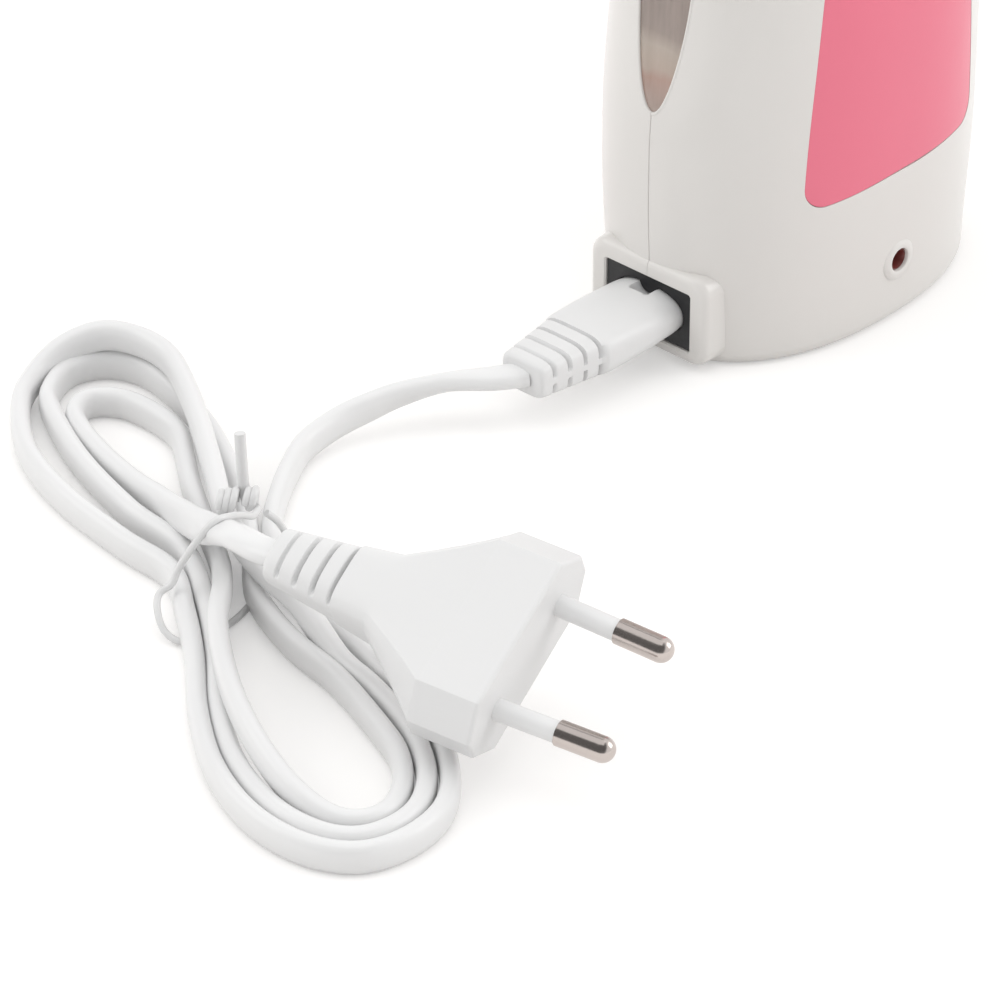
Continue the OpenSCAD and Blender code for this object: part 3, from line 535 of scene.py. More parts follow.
PLUG_AT = (-130, -62.5, 17.8)
PLUG_TURN = (27.5, 4.5, -77.5)
PLUG_W, PLUG_T = 17, 6.8         # half the width and half the thickness of the plug's block
PLUG_FLAT, PLUG_END = 12.5, 1.9  # half the width of its flat top and half the thickness of its narrow ends
PLUG_FACE = [(-PLUG_W, -PLUG_END), (-PLUG_FLAT, -PLUG_T), (PLUG_FLAT, -PLUG_T), (PLUG_W, -PLUG_END),
             (PLUG_W, PLUG_END), (PLUG_FLAT, PLUG_T), (-PLUG_FLAT, PLUG_T), (-PLUG_W, PLUG_END)]
PLUG_BLOCK, PLUG_NECK, PLUG_RELIEF, PLUG_LEN = 10.5, 13.0, 13.0, 42.9
NECK_SIZE, WAIST_SIZE = (13.4, 10.4), (11.6, 9)   # sections behind the taper and in front of the relief
PLUG_TAIL = 6.4                  # length between those two sections


def across(x, ring, z=INLET_Z):
    """A ring of (sideways, up) pairs as points at x, about the height z."""
    return [(x, u, z + v) for u, v in ring]


def plug_place():
    turn = Euler([math.radians(a) for a in PLUG_TURN], "XYZ").to_matrix().to_4x4()
    return Matrix.Translation(PLUG_AT) @ turn


def cord_shape(width, thickness):
    path = curve_through(CORD_ROUTE, 1.4)
    step = (path[1] - path[0]).length
    total = step * (len(path) - 1)

    def turn(i):
        at = i * step
        return 90 * (1 - ease(at / FLAT_START)) + 90 * ease((at - total + FLAT_END) / (FLAT_END - 8))

    section = soft_box(thickness, width, 2.5, 24)
    return swept(path, section, turn), path, total


RELIEF_RIBS = 4
RELIEF_EDGE = 0.9                # length of the rounding at a relief's end


def slot_depth(x, starts, slot_w, soft=0.26):
    """1 inside a slot that starts at one of the given places, 0 between the slots."""
    deep = 0.0
    for start in starts:
        deep = max(deep, ease((x - start) / soft) * ease((start + slot_w - x) / soft))
    return deep


def relief(x0, size, first, last, core, rib_w, power, held):
    """Rings of a ribbed strain relief from x0 towards -x, which narrows from the first size to the last.

    held(u, v, w) is 1 where a bridge joins the ribs and 0 where the slots are open."""
    pitch = size / RELIEF_RIBS
    starts = [k * pitch for k in range(RELIEF_RIBS)]
    rings, n = [], round(size / 0.2)
    inner = soft_box(core[0], core[1], 2.6, RING_N)
    for i in range(n + 1):
        s = size * i / n
        w, h = (first[k] + (last[k] - first[k]) * s / size for k in (0, 1))
        end = 1.4 * (1 - math.sqrt(max(1 - max((s - size) / RELIEF_EDGE + 1, 0) ** 2, 0)))
        outer = soft_box(w - end, h - end, power, RING_N)
        deep = slot_depth(s, starts, pitch - rib_w)
        ring = []
        for (u, v), (cu, cv) in zip(outer, inner):
            k = deep * (1 - held(u, v, w))
            ring.append((x0 - s, u + (cu - u) * k, v + (cv - v) * k))
        rings.append(ring)
    return rings


def side_bridge(u, v, w):
    """A bridge along the middle of each side."""
    return ease((0.75 - abs(v)) / 0.3 + 0.5) if abs(u) > w * 0.3 else 0.0


def edge_bridge(u, v, w):
    """Open slots in the top and bottom only."""
    return ease((abs(u) - w * 0.42) / 0.5)


def eight(w, h, notch, power):
    """Soft box with a half-round dent of the given depth in its top and bottom."""
    ring = []
    for u, v in soft_box(w, h, power, RING_N):
        dip = max(math.sqrt(max(NOTCH_R ** 2 - u * u, 0)) - NOTCH_R + notch, 0)
        ring.append((u, v - math.copysign(dip, v)))
    return ring


def connector_shape():
    """Figure-of-eight nose, smooth grip with the end of the notch, and the ribbed relief."""
    stations = [
        # x, width, height, depth of the notch, squareness
        (NOSE_TIP, 13.7, 6.7, 1.7, 2.4), (NOSE_TIP - 0.5, *NOSE), (-34, *NOSE),
        (-34.4, 14.4, 7.5, 1.8, 2.4), (-35.9, 14.6, 7.6, 1.8, 2.45), (-36.3, 14.6, 7.6, 1.5, 2.5),
        (-36.6, 14.6, 7.6, 1.0, 2.5), (-36.8, 14.6, 7.6, 0, 2.5), (-41.6, 14.6, 7.7, 0, 2.9),
        (-45, 14.4, 7.7, 0, 3.2), (-50, 13.9, 7.6, 0, 3.5), (-51, 13.6, 7.4, 0, 3.6),
        (GRIP_END, 12.9, 6.8, 0, 3.6)]
    rings = []
    for (x0, *a), (x1, *b) in zip(stations, stations[1:]):
        steps = max(round((x0 - x1) / 0.5), 1)
        for k in range(steps):
            t = k / steps
            section = eight(*(p + (q - p) * t for p, q in zip(a, b)))
            rings.append(across(x0 + (x1 - x0) * t, section))
    for ring in relief(GRIP_END, GRIP_END - CONNECTOR_END, (12.2, 7.4), (8.8, 6.2), (7.2, 4.6), 2.3, 4.4,
                       side_bridge):
        rings.append([(x, u, INLET_Z + v) for x, u, v in ring])
    return Shape().loft(rings)


def inlet_shape(back):
    """Black inlet block with a figure-of-eight socket."""
    w, h, notch, power = NOSE
    room, fit, chamfer, square = 0.5, 0.02, 0.15, 40
    hole, rings = eight(w + room, h + room, notch - 0.1, power), []
    for x, inset in ((back, 0), (CONNECTOR_FACE + chamfer, 0), (CONNECTOR_FACE, chamfer)):
        less = 2 * inset + fit
        rings.append(across(x, soft_box(INLET_W - less, INLET_H - less, square, RING_N)))
    rings += [across(x, hole) for x in (CONNECTOR_FACE, CONNECTOR_FACE + 0.1, NOSE_TIP + 1)]
    return Shape().loft(rings)


def plug_ring(x, inset=0.0, blend=0.0, size=NECK_SIZE):
    """Section of the plug: the chamfered face at blend 0 and a soft box at blend 1."""
    corners, parts = [], 12
    for i, (u, v) in enumerate(PLUG_FACE):
        nu, nv = PLUG_FACE[(i + 1) % len(PLUG_FACE)]
        corners += [(u + (nu - u) * k / parts, v + (nv - v) * k / parts) for k in range(parts)]
    ring, bend = [], 2 / 3.4
    for u, v in corners:
        a = math.atan2(v / PLUG_T, u / PLUG_W)
        box = (size[0] / 2 * signed_pow(math.cos(a), bend), size[1] / 2 * signed_pow(math.sin(a), bend))
        fu, fv = u * (1 - inset / PLUG_W), v * (1 - inset / PLUG_T)
        ring.append((x, fu + (box[0] - fu) * blend, fv + (box[1] - fv) * blend))
    return ring


def plug_shape():
    rings = [plug_ring(0, 0.5), plug_ring(-0.15, 0.15), plug_ring(-0.5), plug_ring(-5),
             plug_ring(0.4 - PLUG_BLOCK), plug_ring(-PLUG_BLOCK)]
    taper_steps, tail_steps = 12, 5
    for i in range(1, taper_steps + 1):
        t = i / taper_steps
        rings.append(plug_ring(-PLUG_BLOCK - PLUG_NECK * t, 0, t ** 0.92))
    for i in range(1, tail_steps + 1):
        t = i / tail_steps
        size = tuple(a + (b - a) * t for a, b in zip(NECK_SIZE, WAIST_SIZE))
        rings.append(plug_ring(-PLUG_BLOCK - PLUG_NECK - PLUG_TAIL * t, 0, 1, size))
    ribbed = relief(PLUG_RELIEF - PLUG_LEN, PLUG_RELIEF, (11.6, 8.9), (8.4, 6.4), (7.4, 5.2), 2.4, 2.5,
                    edge_bridge)
    return Shape().loft(rings).add(Shape().loft(ribbed)).placed(plug_place())


TIE_KNOT = Vector((-123.7, 2.4, 13))
TIE_AXIS = Vector((0.68, -0.73, 0))
TIE_COILS = ((-3.4, 17, 1.6), (0.7, 12, 1.4))   # start along the axis, radians turned and radius
COIL_STEP, COIL_PITCH = 0.4, 0.17               # radians between points, and length along the axis per radian
TIE_LOOP = [
    (-122.8, -0.6, 12.4), (-125.7, -2.3, 13.2), (-128.8, -3.2, 15.2), (-132.2, -4, 17),
    (-135.2, -3.8, 17.4), (-137.3, -2.4, 14.6), (-138.4, -0.6, 11), (-138.6, 0.8, 8.4), (-139.9, 0.9, 6.4),
    (-141.6, 1.8, 5.2), (-143.3, 0.7, 4), (-144.6, -1.6, 2.2), (-144.6, -3.8, 1.1), (-143.2, -5.6, 0.8),
    (-136, -7, 0.8), (-128, -5, 0.8), (-121, -3, 1.4), (-118.6, -2.6, 4.5), (-119.6, -2, 8.5),
    (-121.6, -1, 11.2),
]


def tie_shape(diameter):
    """Twist tie: a loop round the neck, a coiled knot on top, an upright end and a short end below."""
    shape = tube(TIE_LOOP, diameter * 0.8)
    flat = TIE_AXIS.cross(Vector((0, 0, 1)))
    for start, turned, radius in TIE_COILS:
        coil = []
        for i in range(int(turned / COIL_STEP)):
            a, along = i * COIL_STEP, start + COIL_PITCH * COIL_STEP * i
            coil.append(TIE_KNOT + TIE_AXIS * (along + 0.3 * math.sin(a)) + Vector((0, 0, 0.16 * along))
                        + radius * (flat * math.cos(a) + Vector((0, 0, math.sin(a)))))
        shape.add(tube(coil, diameter * 0.86, 0.3))
    base = TIE_KNOT + TIE_AXIS * 0.9 - flat * 1.5 + Vector((0, 0, -1.6))
    upright = [base + Vector(at) for at in ((0, 0, 0), (-0.3, 0.3, 4), (-0.2, 0.7, 8), (0.1, 1.2, 12))]
    shape.add(tube(upright, diameter * 1.25))
    shape.add(tube([(-125, -3.5, 0.9), (-129, -7, 1.6), (-131.5, -9, 2.3)], diameter * 0.85))
    return shape


CAMERA_AT = (-0.6524, -0.5423, 0.5053)          # metres
CAMERA_ELEVATION, CAMERA_AZIMUTH = 33, -47.1    # degrees
LENS, FILM, CLIP = 216, 36, (0.05, 30)          # millimetres, millimetres and metres


class WARMER_OT_camera(Operator):
    """Set up the camera"""
    bl_idname = "warmer.camera"
    bl_label = "Camera"

    def execute(self, context):
        data = bpy.data.cameras.new("camera")
        data.lens, data.sensor_width = LENS, FILM
        data.clip_start, data.clip_end = CLIP
        camera = bpy.data.objects.new("camera", data)
        camera.location = CAMERA_AT
        camera.rotation_euler = (math.radians(90 - CAMERA_ELEVATION), 0, math.radians(CAMERA_AZIMUTH))
        context.scene.collection.objects.link(camera)
        context.scene.camera = camera
        return {"FINISHED"}


class WARMER_OT_lead(Operator):
    """Build the cord, its connector, its plug and the twist tie"""
    bl_idname = "warmer.lead"
    bl_label = "Mains lead"

    def execute(self, context):
        size = sizes()
        vinyl = colour_of("vinyl")
        cord_white = moulded("cord_vinyl", vinyl, 0.36, 900, 0.000012, 0.985, coat=0.15)
        plug_white = moulded("plug_vinyl", shade(vinyl, 0.95), 0.4, 1100, 0.00002, 0.985)
        tie_white = moulded("tie_coating", shade(vinyl, 0.9), 0.3, 1500, 0.00002, 0.96, coat=0.3)

        shape, path, total = cord_shape(size["cord_width"], size["cord_thickness"])
        cord = shape.make("cord_flat")
        smooth(cord, 50)
        dress(cord, "lead", "cord_white", cord_white, "cord_run", "cord_neck", "cord_hank_upper",
              "cord_hank_lower", "cord_tail")

        connector = connector_shape().make("connector_moulding")
        smooth(connector, 50)
        dress(connector, "lead", "plug_white", plug_white, "connector_body")

        plug = plug_shape().make("plug_moulding")
        round_edges(plug, 0.9, 4, 20)
        smooth(plug, 40)
        dress(plug, "lead", "plug_white", plug_white, "plug_body")

        tie = tie_shape(size["tie_diameter"]).make("tie_wire")
        smooth(tie, 60)
        dress(tie, "lead", "tie_white", tie_white, "twist_tie")

        round(total * MM, 3)
        size["cord_width"] * MM
        [tuple(p * MM) for p in path[:-1:4]] + [tuple(path[-1] * MM)]
        return {"FINISHED"}


# ---- shells

WINDOW_Z, WINDOW_H, WINDOW_W, WINDOW_PEAK = 43.6, 68, 11.6, 0.46
SHADE_BAND_H = 30                      # height above the window's tip over which its tint changes in bands of painted shade, with a lighter cream band, which stand in for the inside seen through it
PANEL_Z, PANEL_H, PANEL_W, PANEL_WAIST = 28, 104, 41, 31
PANEL_X, PANEL_R, POCKET = 0.1, 4, 1.2
PANEL_FIT = 0.02                 # play between a panel and its pocket
PANEL_RISE = 0.95                # how much higher the panel's lower edge is at the back
PANEL_STEPS = 44                 # faces along and across a panel
COLLAR_W, COLLAR_LO, COLLAR_HI, COLLAR_R, COLLAR_BACK = 24.8, 1.2, 17.2, 3.2, 27
OPENING_R = 0.5                  # corner radius of the collar's opening
LAMP_X, LAMP_Z = 0.5, 11.5
BEZEL_R, BEZEL_H, LAMP_HOLE_R = 3.6, 0.5, 1.95
LAMP_CUT_R = 2.3                 # hole in the shell that takes the bezel's sleeve
STEPS = 96                       # points round half of the body's section
FOOT_ROWS, BODY_ROWS = 6, 62


def body_rows():
    foot = [FOOT_R * (1 - math.cos(math.radians(90 / FOOT_ROWS * i))) for i in range(FOOT_ROWS + 1)]
    return foot + [FOOT_R + (BODY_H - FOOT_R) * i / BODY_ROWS for i in range(1, BODY_ROWS + 1)]


def half_shell(side):
    """C-shaped closed solid on one side of the parting plane, with a solid floor."""
    start = 0 if side > 0 else math.pi
    rings = []
    for r, z in enumerate(body_rows()):
        on_floor = r < FOOT_ROWS
        inner_z = FLOOR_T * r / FOOT_ROWS if on_floor else max(z, FLOOR_T)
        outer, inner = [], []
        for i in range(STEPS + 1):
            a = start + math.pi * i / STEPS
            x, y, _ = oval(a, z, foot_in(z))
            ix, iy, _ = oval(a, inner_z, WALL)
            edge = i in (0, STEPS)
            outer.append((x, 0 if edge else y, z))
            inner.append((ix, 0 if edge or on_floor else iy, inner_z))
        first, last = outer[0], outer[-1]
        bevel = [(first[0] - math.copysign(SEAM_BEVEL, first[0]), 0, z), (first[0], side * SEAM_BEVEL, z)]
        bevel_end = [(last[0], side * SEAM_BEVEL, z), (last[0] - math.copysign(SEAM_BEVEL, last[0]), 0, z)]
        rings.append(bevel + outer[1:-1] + bevel_end + inner[::-1])
    shape = Shape().loft(rings)
    shape.points = [(x, y + side * SEAM, z) for x, y, z in shape.points]
    return shape


def panel_half(z):
    t, waist, spread = (z - PANEL_Z) / PANEL_H, 0.6, PANEL_W - PANEL_WAIST
    half = (PANEL_W - spread * ease(t / waist)) / 2 + spread / 6 * ease((t - waist) / (1 - waist))
    for edge in (z - PANEL_Z, PANEL_Z + PANEL_H - z):
        if edge < PANEL_R:
            half += math.sqrt(max(PANEL_R ** 2 - (PANEL_R - edge) ** 2, 0)) - PANEL_R
    return half


def panel_lift(x, row):
    """The lower edge climbs a little towards the back."""
    return PANEL_RISE * ease((x + 19) / 20) * (1 - row / PANEL_H) ** 3


def panel_shape(side, outer, inner, grow=0.0):
    """Solid that follows the skin between two depths, inside the panel's outline."""
    curve = [PANEL_R * (1 - math.cos(math.radians(9 * i))) for i in range(11)]
    flat = [PANEL_R + (PANEL_H - 2 * PANEL_R) * i / PANEL_STEPS for i in range(1, PANEL_STEPS)]
    rows = curve + flat + [PANEL_H - c for c in reversed(curve)]
    rings = []
    for row in rows:
        z = PANEL_Z + row
        half = panel_half(z) + grow
        at = z + grow * (2 * row / PANEL_H - 1)
        xs = [PANEL_X + half * (2 * i / PANEL_STEPS - 1) for i in range(PANEL_STEPS + 1)]
        zs = [at + panel_lift(x, row) for x in xs]
        rings.append([(x, side * skin_y(x, h, outer), h) for x, h in zip(xs, zs)]
                     + [(x, side * skin_y(x, h, inner), h) for x, h in zip(reversed(xs), reversed(zs))])
    return Shape().loft(rings)


def window_half(z):
    middle = WINDOW_Z + WINDOW_H * WINDOW_PEAK
    reach = middle - WINDOW_Z if z < middle else WINDOW_Z + WINDOW_H - middle
    return WINDOW_W / 2 * math.sqrt(max(1 - ((z - middle) / reach) ** 2, 0))


def window_rows(shrink=0.0, count=72):
    lo, hi = WINDOW_Z + shrink, WINDOW_Z + WINDOW_H - shrink
    return [(lo + hi) / 2 - (hi - lo) / 2 * math.cos(math.pi * i / count) for i in range(count + 1)]


def window_outline(shrink=0.0):
    rows = window_rows(shrink)
    right = [(max(window_half(z) - shrink, 0), z) for z in rows]
    return right + [(-y, z) for y, z in reversed(right[1:-1])]


def window_cutter():
    return Shape().loft([[(x, y, z) for y, z in window_outline()] for x in (-26, -40)])


def window_bead():
    """Thin rounded edge along the window's opening."""
    sunk, r = 0.18, 0.3
    path = [Vector((skin_x(y, z, sunk), y, z)) for y, z in window_outline()]
    return swept(path, circle(r, 10), closed=True)


def lens_shape(inset):
    """Window pane that follows the skin."""
    gap, least, pane_t, steps, rings = 0.1, 0.03, 1.6, 20, []
    for z in window_rows(gap):
        half = max(window_half(z) - gap, least)
        ys = [half * (2 * i / steps - 1) for i in range(steps + 1)]
        rings.append([(skin_x(y, z, inset), y, z) for y in ys]
                     + [(skin_x(y, z, inset + pane_t), y, z) for y in reversed(ys)])
    return Shape().loft(rings)


def collar_shape(edge):
    """Rounded box round the inlet, with a soft front edge and a sharp opening."""
    middle = (COLLAR_LO + COLLAR_HI) / 2
    face = -BODY_L / 2

    def ring(x, w, h, r, z=middle):
        return across(x, round_rect(w, h, r, 12), z)

    w, h = COLLAR_W, COLLAR_HI - COLLAR_LO
    rings = [ring(-COLLAR_BACK, w + 0.5, h + 0.3, COLLAR_R)]
    for i in range(7):
        a = math.radians(15 * i)
        out = edge * (1 - math.cos(a))
        rings.append(ring(face + edge * (1 - math.sin(a)), w - 2 * out, h - 2 * out, COLLAR_R - out / 2))
    lip = 0.25
    rings.append(ring(face, INLET_W + 2 * lip, INLET_H + 2 * lip, 0.7, INLET_Z))
    rings.append(ring(face + lip, INLET_W, INLET_H, OPENING_R, INLET_Z))
    rings.append(ring(-COLLAR_BACK, INLET_W, INLET_H, OPENING_R, INLET_Z))
    return Shape().loft(rings, closed=True)


def half_of(piece, side):
    """Keeps the part of a closed piece on one side of the parting plane."""
    bm = bmesh.new()
    bm.from_mesh(piece.data)
    cut = bmesh.ops.bisect_plane(bm, geom=bm.verts[:] + bm.edges[:] + bm.faces[:], clear_outer=True,
                                 plane_co=(0, side * SEAM * MM, 0), plane_no=(0, -side, 0))
    edges = [g for g in cut["geom_cut"] if isinstance(g, bmesh.types.BMEdge)]
    bmesh.ops.holes_fill(bm, edges=edges)
    bm.to_mesh(piece.data)
    bm.free()


def lamp_place():
    """The lamp hole's place on the near face, with local z outwards."""
    at = (LAMP_X, -skin_y(LAMP_X, LAMP_Z), LAMP_Z)
    return Matrix.Translation(at) @ Matrix.Rotation(math.pi / 2, 4, "X")


def bezel_shape():
    r = LAMP_HOLE_R
    profile = [(r, -1.4), (r, 0.22), (r + 0.1, 0.4), (r + 0.35, BEZEL_H), (BEZEL_R - 1, BEZEL_H),
               (BEZEL_R - 0.4, BEZEL_H - 0.14), (BEZEL_R, 0.05), (BEZEL_R + 0.1, -0.4), (BEZEL_R, -1.4)]
    return spun(profile).placed(lamp_place())


def lamp_shape(back):
    """Indicator lamp with a hollow front, seen down the hole in the bezel."""
    r = LAMP_HOLE_R - 0.06
    profile = [(0.01, back), (r - 0.3, back), (r - 0.3, -1.6), (r, -1.5), (r, -0.15), (r - 0.25, -0.05),
               (r - 0.45, -0.4), (r - 0.75, -1.4), (1.0, -1.9), (0.5, -1.55), (0.01, -1.45)]
    return spun(profile).placed(lamp_place())


def lamp_cutter():
    hole = circle(LAMP_CUT_R, 32)
    return Shape().loft([[(LAMP_X + u, y, LAMP_Z + v) for u, v in hole] for y in (-30, -18)])


def join(piece, *others):
    with bpy.context.temp_override(active_object=piece, selected_editable_objects=[piece, *others]):
        bpy.ops.object.join()


class WARMER_OT_shells(Operator):
    """Build the two halves of the body with the collar, the pockets and the window opening"""
    bl_idname = "warmer.shells"
    bl_label = "Body shells"

    def execute(self, context):
        size = sizes()
        white = moulded("shell_gloss", colour_of("shell"), 0.3, 500, 0.000012, 0.985, coat=0.35)
        for side, name in ((-1, "shell_near"), (1, "shell_far")):
            shell = half_shell(side).make(name + "_moulding")
            opening = round_rect(INLET_W, INLET_H, OPENING_R, 8)
            cutters = [window_cutter(), panel_shape(side, -3, POCKET, size["panel_gap"]),
                       Shape().loft([across(x, opening) for x in (-24, -40)])]
            if side < 0:
                cutters.append(lamp_cutter())
            carve(shell, *(cutter.make("cutter") for cutter in cutters))
            collar = collar_shape(size["collar_edge"]).make("collar")
            half_of(collar, side)
            bead = window_bead().make("bead")
            half_of(bead, side)
            extra = [collar, bead]
            if side < 0:
                extra.append(bezel_shape().make("bezel"))
                self.add_lamp()
            join(shell, *extra)
            smooth(shell, 34)
            dress(shell, "housing", "shell_white", white, name)
        return {"FINISHED"}

    def add_lamp(self):
        red = moulded("lamp_red", (0.15, 0.03, 0.025), 0.3, 700, 0.00001, 0.9)
        back = -skin_y(LAMP_X, LAMP_Z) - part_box("indicator_lamp")[1].y / MM
        lamp = lamp_shape(back).make("lamp_lens")
        smooth(lamp, 40)
        dress(lamp, "housing", "lamp_red", red, "indicator_lamp")


class WARMER_OT_panels(Operator):
    """Build the two colour panels"""
    bl_idname = "warmer.panels"
    bl_label = "Colour panels"

    def execute(self, context):
        size = sizes()
        pink = moulded("panel_pink", colour_of("panel"), 0.34, 600, 0.00002, 0.97, coat=0.1)
        for side, name in ((-1, "side_panel_near"), (1, "side_panel_far")):
            panel = panel_shape(side, PANEL_FIT, POCKET - PANEL_FIT).make(name + "_inlay")
            round_edges(panel, size["panel_edge"], 3, 40)
            smooth(panel, 40)
            dress(panel, "housing", "panel_pink", pink, name)
        return {"FINISHED"}


class WARMER_OT_window(Operator):
    """Build the clear window"""
    bl_idname = "warmer.window"
    bl_label = "Window"

    def execute(self, context):
        size = sizes()
        tint = colour_of("window")
        f = Finish("window_clear")
        facing = f.node("LayerWeight", {}, {"Blend": 0.35}, "Facing")
        dust = f.noise(420, 4, 0.6)
        streak = f.noise(1, 3, 0.6, f.stretched(900, 900, 22))
        cloud = f.noise(1, 2, 0.5, f.stretched(160, 160, 60))
        up = f.node("SeparateXYZ", {}, {0: f.place}, "Z")
        height = up * (1 / (SHADE_BAND_H * MM)) - WINDOW_Z / SHADE_BAND_H + (cloud - 0.5) * 0.16
        # Painted shade: bands by height stand in for the shaded inside seen through the pane, pinkish-brown
        # and a lighter cream band near the lower tip, then darker towards the top
        painted_interior_shade = f.ramp(height, (0.0, shade(tint, 0.8)), (0.2, (0.60, 0.38, 0.31)),
                        (0.25, (0.66, 0.54, 0.45)), (0.38, (0.64, 0.56, 0.48)), (0.46, shade(tint, 0.54)),
                        (1.0, shade(tint, 0.46)))
        paint = f.mixed(streak * 0.5, painted_interior_shade, shade(tint, 1.25))
        clear = f.surface({"Base Color": paint, "Roughness": 0.04 + dust * 0.06, "Alpha": 0.5 + facing * 0.3,
                           "IOR": 1.49, "Coat Weight": 0.6, "Coat Roughness": 0.03,
                           "Normal": f.bump(dust, 0.000006)})
        lens = lens_shape(size["window_inset"]).make("window_glazing")
        round_edges(lens, 0.35, 3, 50)
        smooth(lens, 40)
        dress(lens, "housing", "window_clear", clear, "window_lens")
        return {"FINISHED"}


MOUTH_L, MOUTH_D = 45.2, 30.2    # the rim's opening
SLEEVE_IN, SLEEVE_OUT = 2.6, 5.4  # how much wider the sleeve round the well's end is, inside and outside
WELL_TOP, RIM_GAP = 136.7, 0.1


class WARMER_OT_rim(Operator):
    """Build the rim of the mouth"""
    bl_idname = "warmer.rim"
    bl_label = "Mouth rim"

    def execute(self, context):
        n = 2 * STEPS
        white = moulded("rim_gloss", colour_of("shell"), 0.3, 500, 0.000012, 0.985, coat=0.35)
        lo, hi = (corner.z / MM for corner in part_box("top_rim"))
        base = BODY_H + RIM_GAP

        def outer(z, inset):
            return [(*oval(2 * math.pi * i / n, BODY_H, inset)[:2], z) for i in range(n)]

        def stadium(z, grow):
            long, deep = MOUTH_L + grow, MOUTH_D + grow
            ring = []
            for i in range(n):
                a = 2 * math.pi * (i + 0.5) / n
                ring.append((math.copysign((long - deep) / 2, math.cos(a)) + deep / 2 * math.cos(a),
                             deep / 2 * math.sin(a), z))
            return ring

        edge = 1.2
        rings = [outer(base, 0.25), outer(base + 0.25, 0)]
        for i in range(6):
            a = math.radians(18 * i)
            rings.append(outer(hi - edge + edge * math.sin(a), edge * (1 - math.cos(a))))
        rings += [stadium(hi, 1.2), stadium(hi - 0.2, 0.4), stadium(hi - 0.8, 0), stadium(WELL_TOP + 0.1, 0),
                  stadium(WELL_TOP, SLEEVE_IN), stadium(lo, SLEEVE_IN), stadium(lo, SLEEVE_OUT),
                  stadium(base, SLEEVE_OUT)]
        rim = Shape().loft(rings, closed=True).make("mouth_rim")
        smooth(rim, 35)
        dress(rim, "housing", "shell_white", white, "top_rim")
        return {"FINISHED"}


class WARMER_OT_fittings(Operator):
    """Give the model's own pieces their finishes"""
    bl_idname = "warmer.fittings"
    bl_label = "Inner pieces and fittings"

    def execute(self, context):
        shell, vinyl = colour_of("shell"), colour_of("vinyl")
        black = moulded("inlet_black", colour_of("black"), 0.42, 900, 0.00004, 0.8)
        nickel = metal("pin_nickel", colour_of("nickel"), 0.2)
        steel = metal("screw_steel", (0.55, 0.55, 0.57), 0.3)
        brass = metal("contact_brass", (0.72, 0.52, 0.2), 0.28)
        aluminium = metal("well_aluminium", (0.78, 0.74, 0.70), 0.5, (1, 1, 0.05))
        cream = moulded("seat_cream", (0.76, 0.68, 0.56), 0.5, 500, 0.00004)
        finishes = {
            "inlet_pins": nickel, "plug_pins": nickel,
            "housing_screws": steel, "roller_axle": steel, "heater_band": steel,
            "connector_contacts": brass, "heating_well": aluminium, "well_seat": cream,
            "ceramic_heaters": moulded("heater_ceramic", (0.66, 0.62, 0.54), 0.7, 300, 0.00008),
            "thermal_cutout": moulded("cutout_black", (0.03, 0.03, 0.035), 0.5),
            "live_wire": moulded("wire_brown", (0.16, 0.07, 0.035), 0.45),
            "neutral_wire": moulded("wire_blue", (0.03, 0.09, 0.4), 0.45),
            "lamp_wires": moulded("wire_red", (0.45, 0.03, 0.025), 0.45),
            "lamp_board": moulded("board_green", (0.03, 0.16, 0.06), 0.4),
            "cartridge_tank": moulded("tank_white", (0.82, 0.78, 0.71), 0.42, 400, 0.00003),
            "cartridge_head": moulded("head_white", shade(shell, 1.02), 0.34, 500, 0.00002, 0.985, coat=0.2),
            "roller": moulded("roller_pink", shade(colour_of("panel"), 1.02), 0.3, 600, 0.00002, coat=0.2),
            "pin_sleeves": moulded("sleeve_white", shade(vinyl, 0.98), 0.3, 1100, 0.00001, 0.985),
        }
        for name, material in finishes.items():
            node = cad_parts[name]
            for slot in node.material_slots:
                slot.material = material
        inlet = inlet_shape(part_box("lead_inlet")[1].x / MM).make("inlet_block")
        smooth(inlet, 40)
        dress(inlet, "housing", "black_plastic", black, "lead_inlet")
        for name, width in (("cartridge_head", 0.5), ("roller", 0.2), ("well_seat", 0.3),
                            ("ceramic_heaters", 0.3), ("thermal_cutout", 0.4)):
            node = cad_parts[name]
            weld = node.modifiers.new("weld", "WELD")
            weld.merge_threshold = 0.002 * MM
            bevel = node.modifiers.new("rounded_edges", "BEVEL")
            bevel.width, bevel.segments, bevel.limit_method = width * MM, 2, "ANGLE"
            bevel.angle_limit = math.radians(50)
        return {"FINISHED"}


# ---- stage

LAMPS = [
    # name, place, power in watts, width in metres, tint
    ("lamp_left", (-0.9, 1.1, 0.9), 5.6, 1.1, (1.0, 0.99, 0.97)),
    ("lamp_right", (1.0, -1.0, 0.8), 6.6, 0.9, (1.0, 0.99, 0.98)),
    ("lamp_top", (-0.1, 0.1, 1.6), 5.2, 1.4, (1.0, 1.0, 1.0)),
]
AIM = (-0.06, 0, 0.03)           # where the lamps point
SKY = 0.78                       # strength of the sky's own light
CARD_AT = (-0.778, 0.169, 0.605)  # direction of a dark card that polished metal mirrors
FLOOR_HALF = 4.0                 # metres
FLOOR_DROP = 0.02                # millimetres


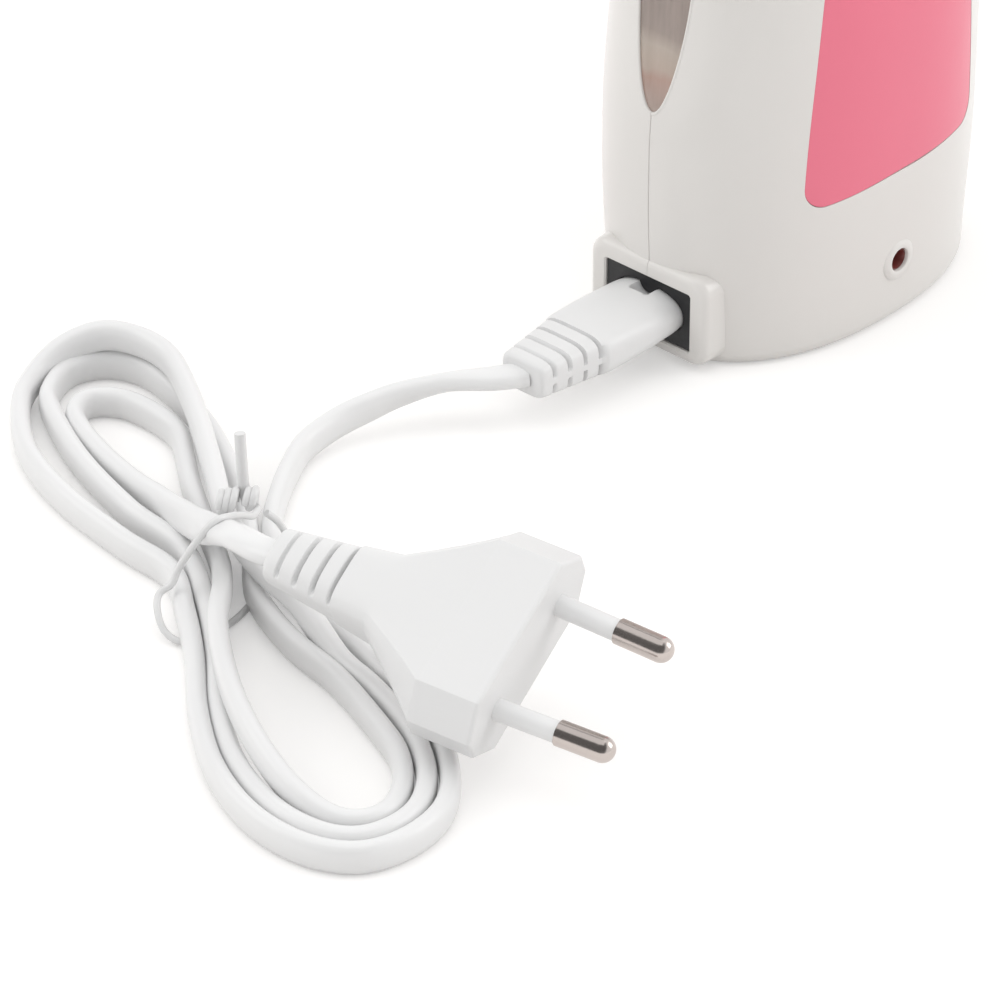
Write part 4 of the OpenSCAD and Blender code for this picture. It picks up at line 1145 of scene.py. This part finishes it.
class WARMER_OT_stage(Operator):
    """Set up the floor, the lamps and the world"""
    bl_idname = "warmer.stage"
    bl_label = "Stage"

    def execute(self, context):
        f = Finish("floor_pale")
        seen = f.rays("Camera", "Transmission", "Glossy")
        speckle = f.noise(30, 3)
        matt = f.node("BsdfDiffuse", {}, {"Color": f.mixed(speckle, (0.80, 0.79, 0.78), (0.82, 0.81, 0.80)),
                                          "Roughness": 0.6})
        glow = f.node("Emission", {}, {"Color": (1, 1, 1, 1), "Strength": 0.3})
        lit = f.node("AddShader", {}, {0: matt, 1: glow})
        f.output(f.node("MixShader", {}, {0: seen, 1: matt, 2: lit}))
        half = FLOOR_HALF / MM
        floor = Shape()
        floor.points = [(x * half, y * half, 0) for x, y in ((-1, -1), (1, -1), (1, 1), (-1, 1))]
        floor.faces = [(0, 1, 2, 3)]
        floor = floor.make("floor")
        floor.location.z = -FLOOR_DROP * MM
        floor.data.materials.append(f.material)

        world = bpy.data.worlds.new("world")
        world.use_nodes = True
        tree = world.node_tree
        tree.nodes.clear()
        sky = Sky(tree)
        mirrored = sky.rays("Glossy")
        seen = sky.rays("Camera", "Transmission")
        towards = sky.node("VectorMath", {"operation": "DOT_PRODUCT"}, {0: sky.place, 1: CARD_AT}, "Value")
        card = sky.node("MapRange", {"interpolation_type": "SMOOTHSTEP"},
                        {"Value": towards, "From Min": 0.1, "From Max": 0.36, "To Min": 1.0, "To Max": 0.14})
        strength = seen + (1 - seen) * (mirrored * card + (1 - mirrored) * SKY)
        back = sky.node("Background", {}, {"Color": (1, 1, 1, 1), "Strength": strength})
        tree.links.new(back.socket, tree.nodes.new("ShaderNodeOutputWorld").inputs["Surface"])
        context.scene.world = world
        context.scene.view_settings.view_transform = "Standard"

        for name, place, power, width, tint in LAMPS:
            data = bpy.data.lights.new(name, "AREA")
            data.energy, data.size, data.color = power, width, tint
            lamp = bpy.data.objects.new(name, data)
            lamp.location = place
            lamp.rotation_euler = (Vector(AIM) - Vector(place)).to_track_quat("-Z", "Y").to_euler()
            context.scene.collection.objects.link(lamp)
        return {"FINISHED"}


# ---- add-on

OPERATORS = (WARMER_OT_camera, WARMER_OT_lead, WARMER_OT_shells, WARMER_OT_panels, WARMER_OT_window,
             WARMER_OT_rim, WARMER_OT_fittings, WARMER_OT_stage)


class WARMER_PT_pieces(Panel):
    """Buttons, sizes and colours of the warmer"""
    bl_idname = "WARMER_PT_pieces"
    bl_label = "Wax warmer"
    bl_space_type = "VIEW_3D"
    bl_region_type = "UI"
    bl_category = "Warmer"

    def draw(self, context):
        for operator in OPERATORS:
            self.layout.operator(operator.bl_idname)
        for group in (context.scene.warmer_sizes, context.scene.warmer_colours):
            for key in group.__annotations__:
                self.layout.prop(group, key)


CLASSES = (WarmerSizes, WarmerColours, *OPERATORS, WARMER_PT_pieces)


def register():
    for cls in CLASSES:
        bpy.utils.register_class(cls)
    bpy.types.Scene.warmer_sizes = PointerProperty(type=WarmerSizes)
    bpy.types.Scene.warmer_colours = PointerProperty(type=WarmerColours)


def unregister():
    del bpy.types.Scene.warmer_colours
    del bpy.types.Scene.warmer_sizes
    for cls in reversed(CLASSES):
        bpy.utils.unregister_class(cls)


def main():
    register()
    for operator in OPERATORS:
        group, name = operator.bl_idname.split(".")
        getattr(getattr(bpy.ops, group), name)()


if __name__ == "__main__":
    main()
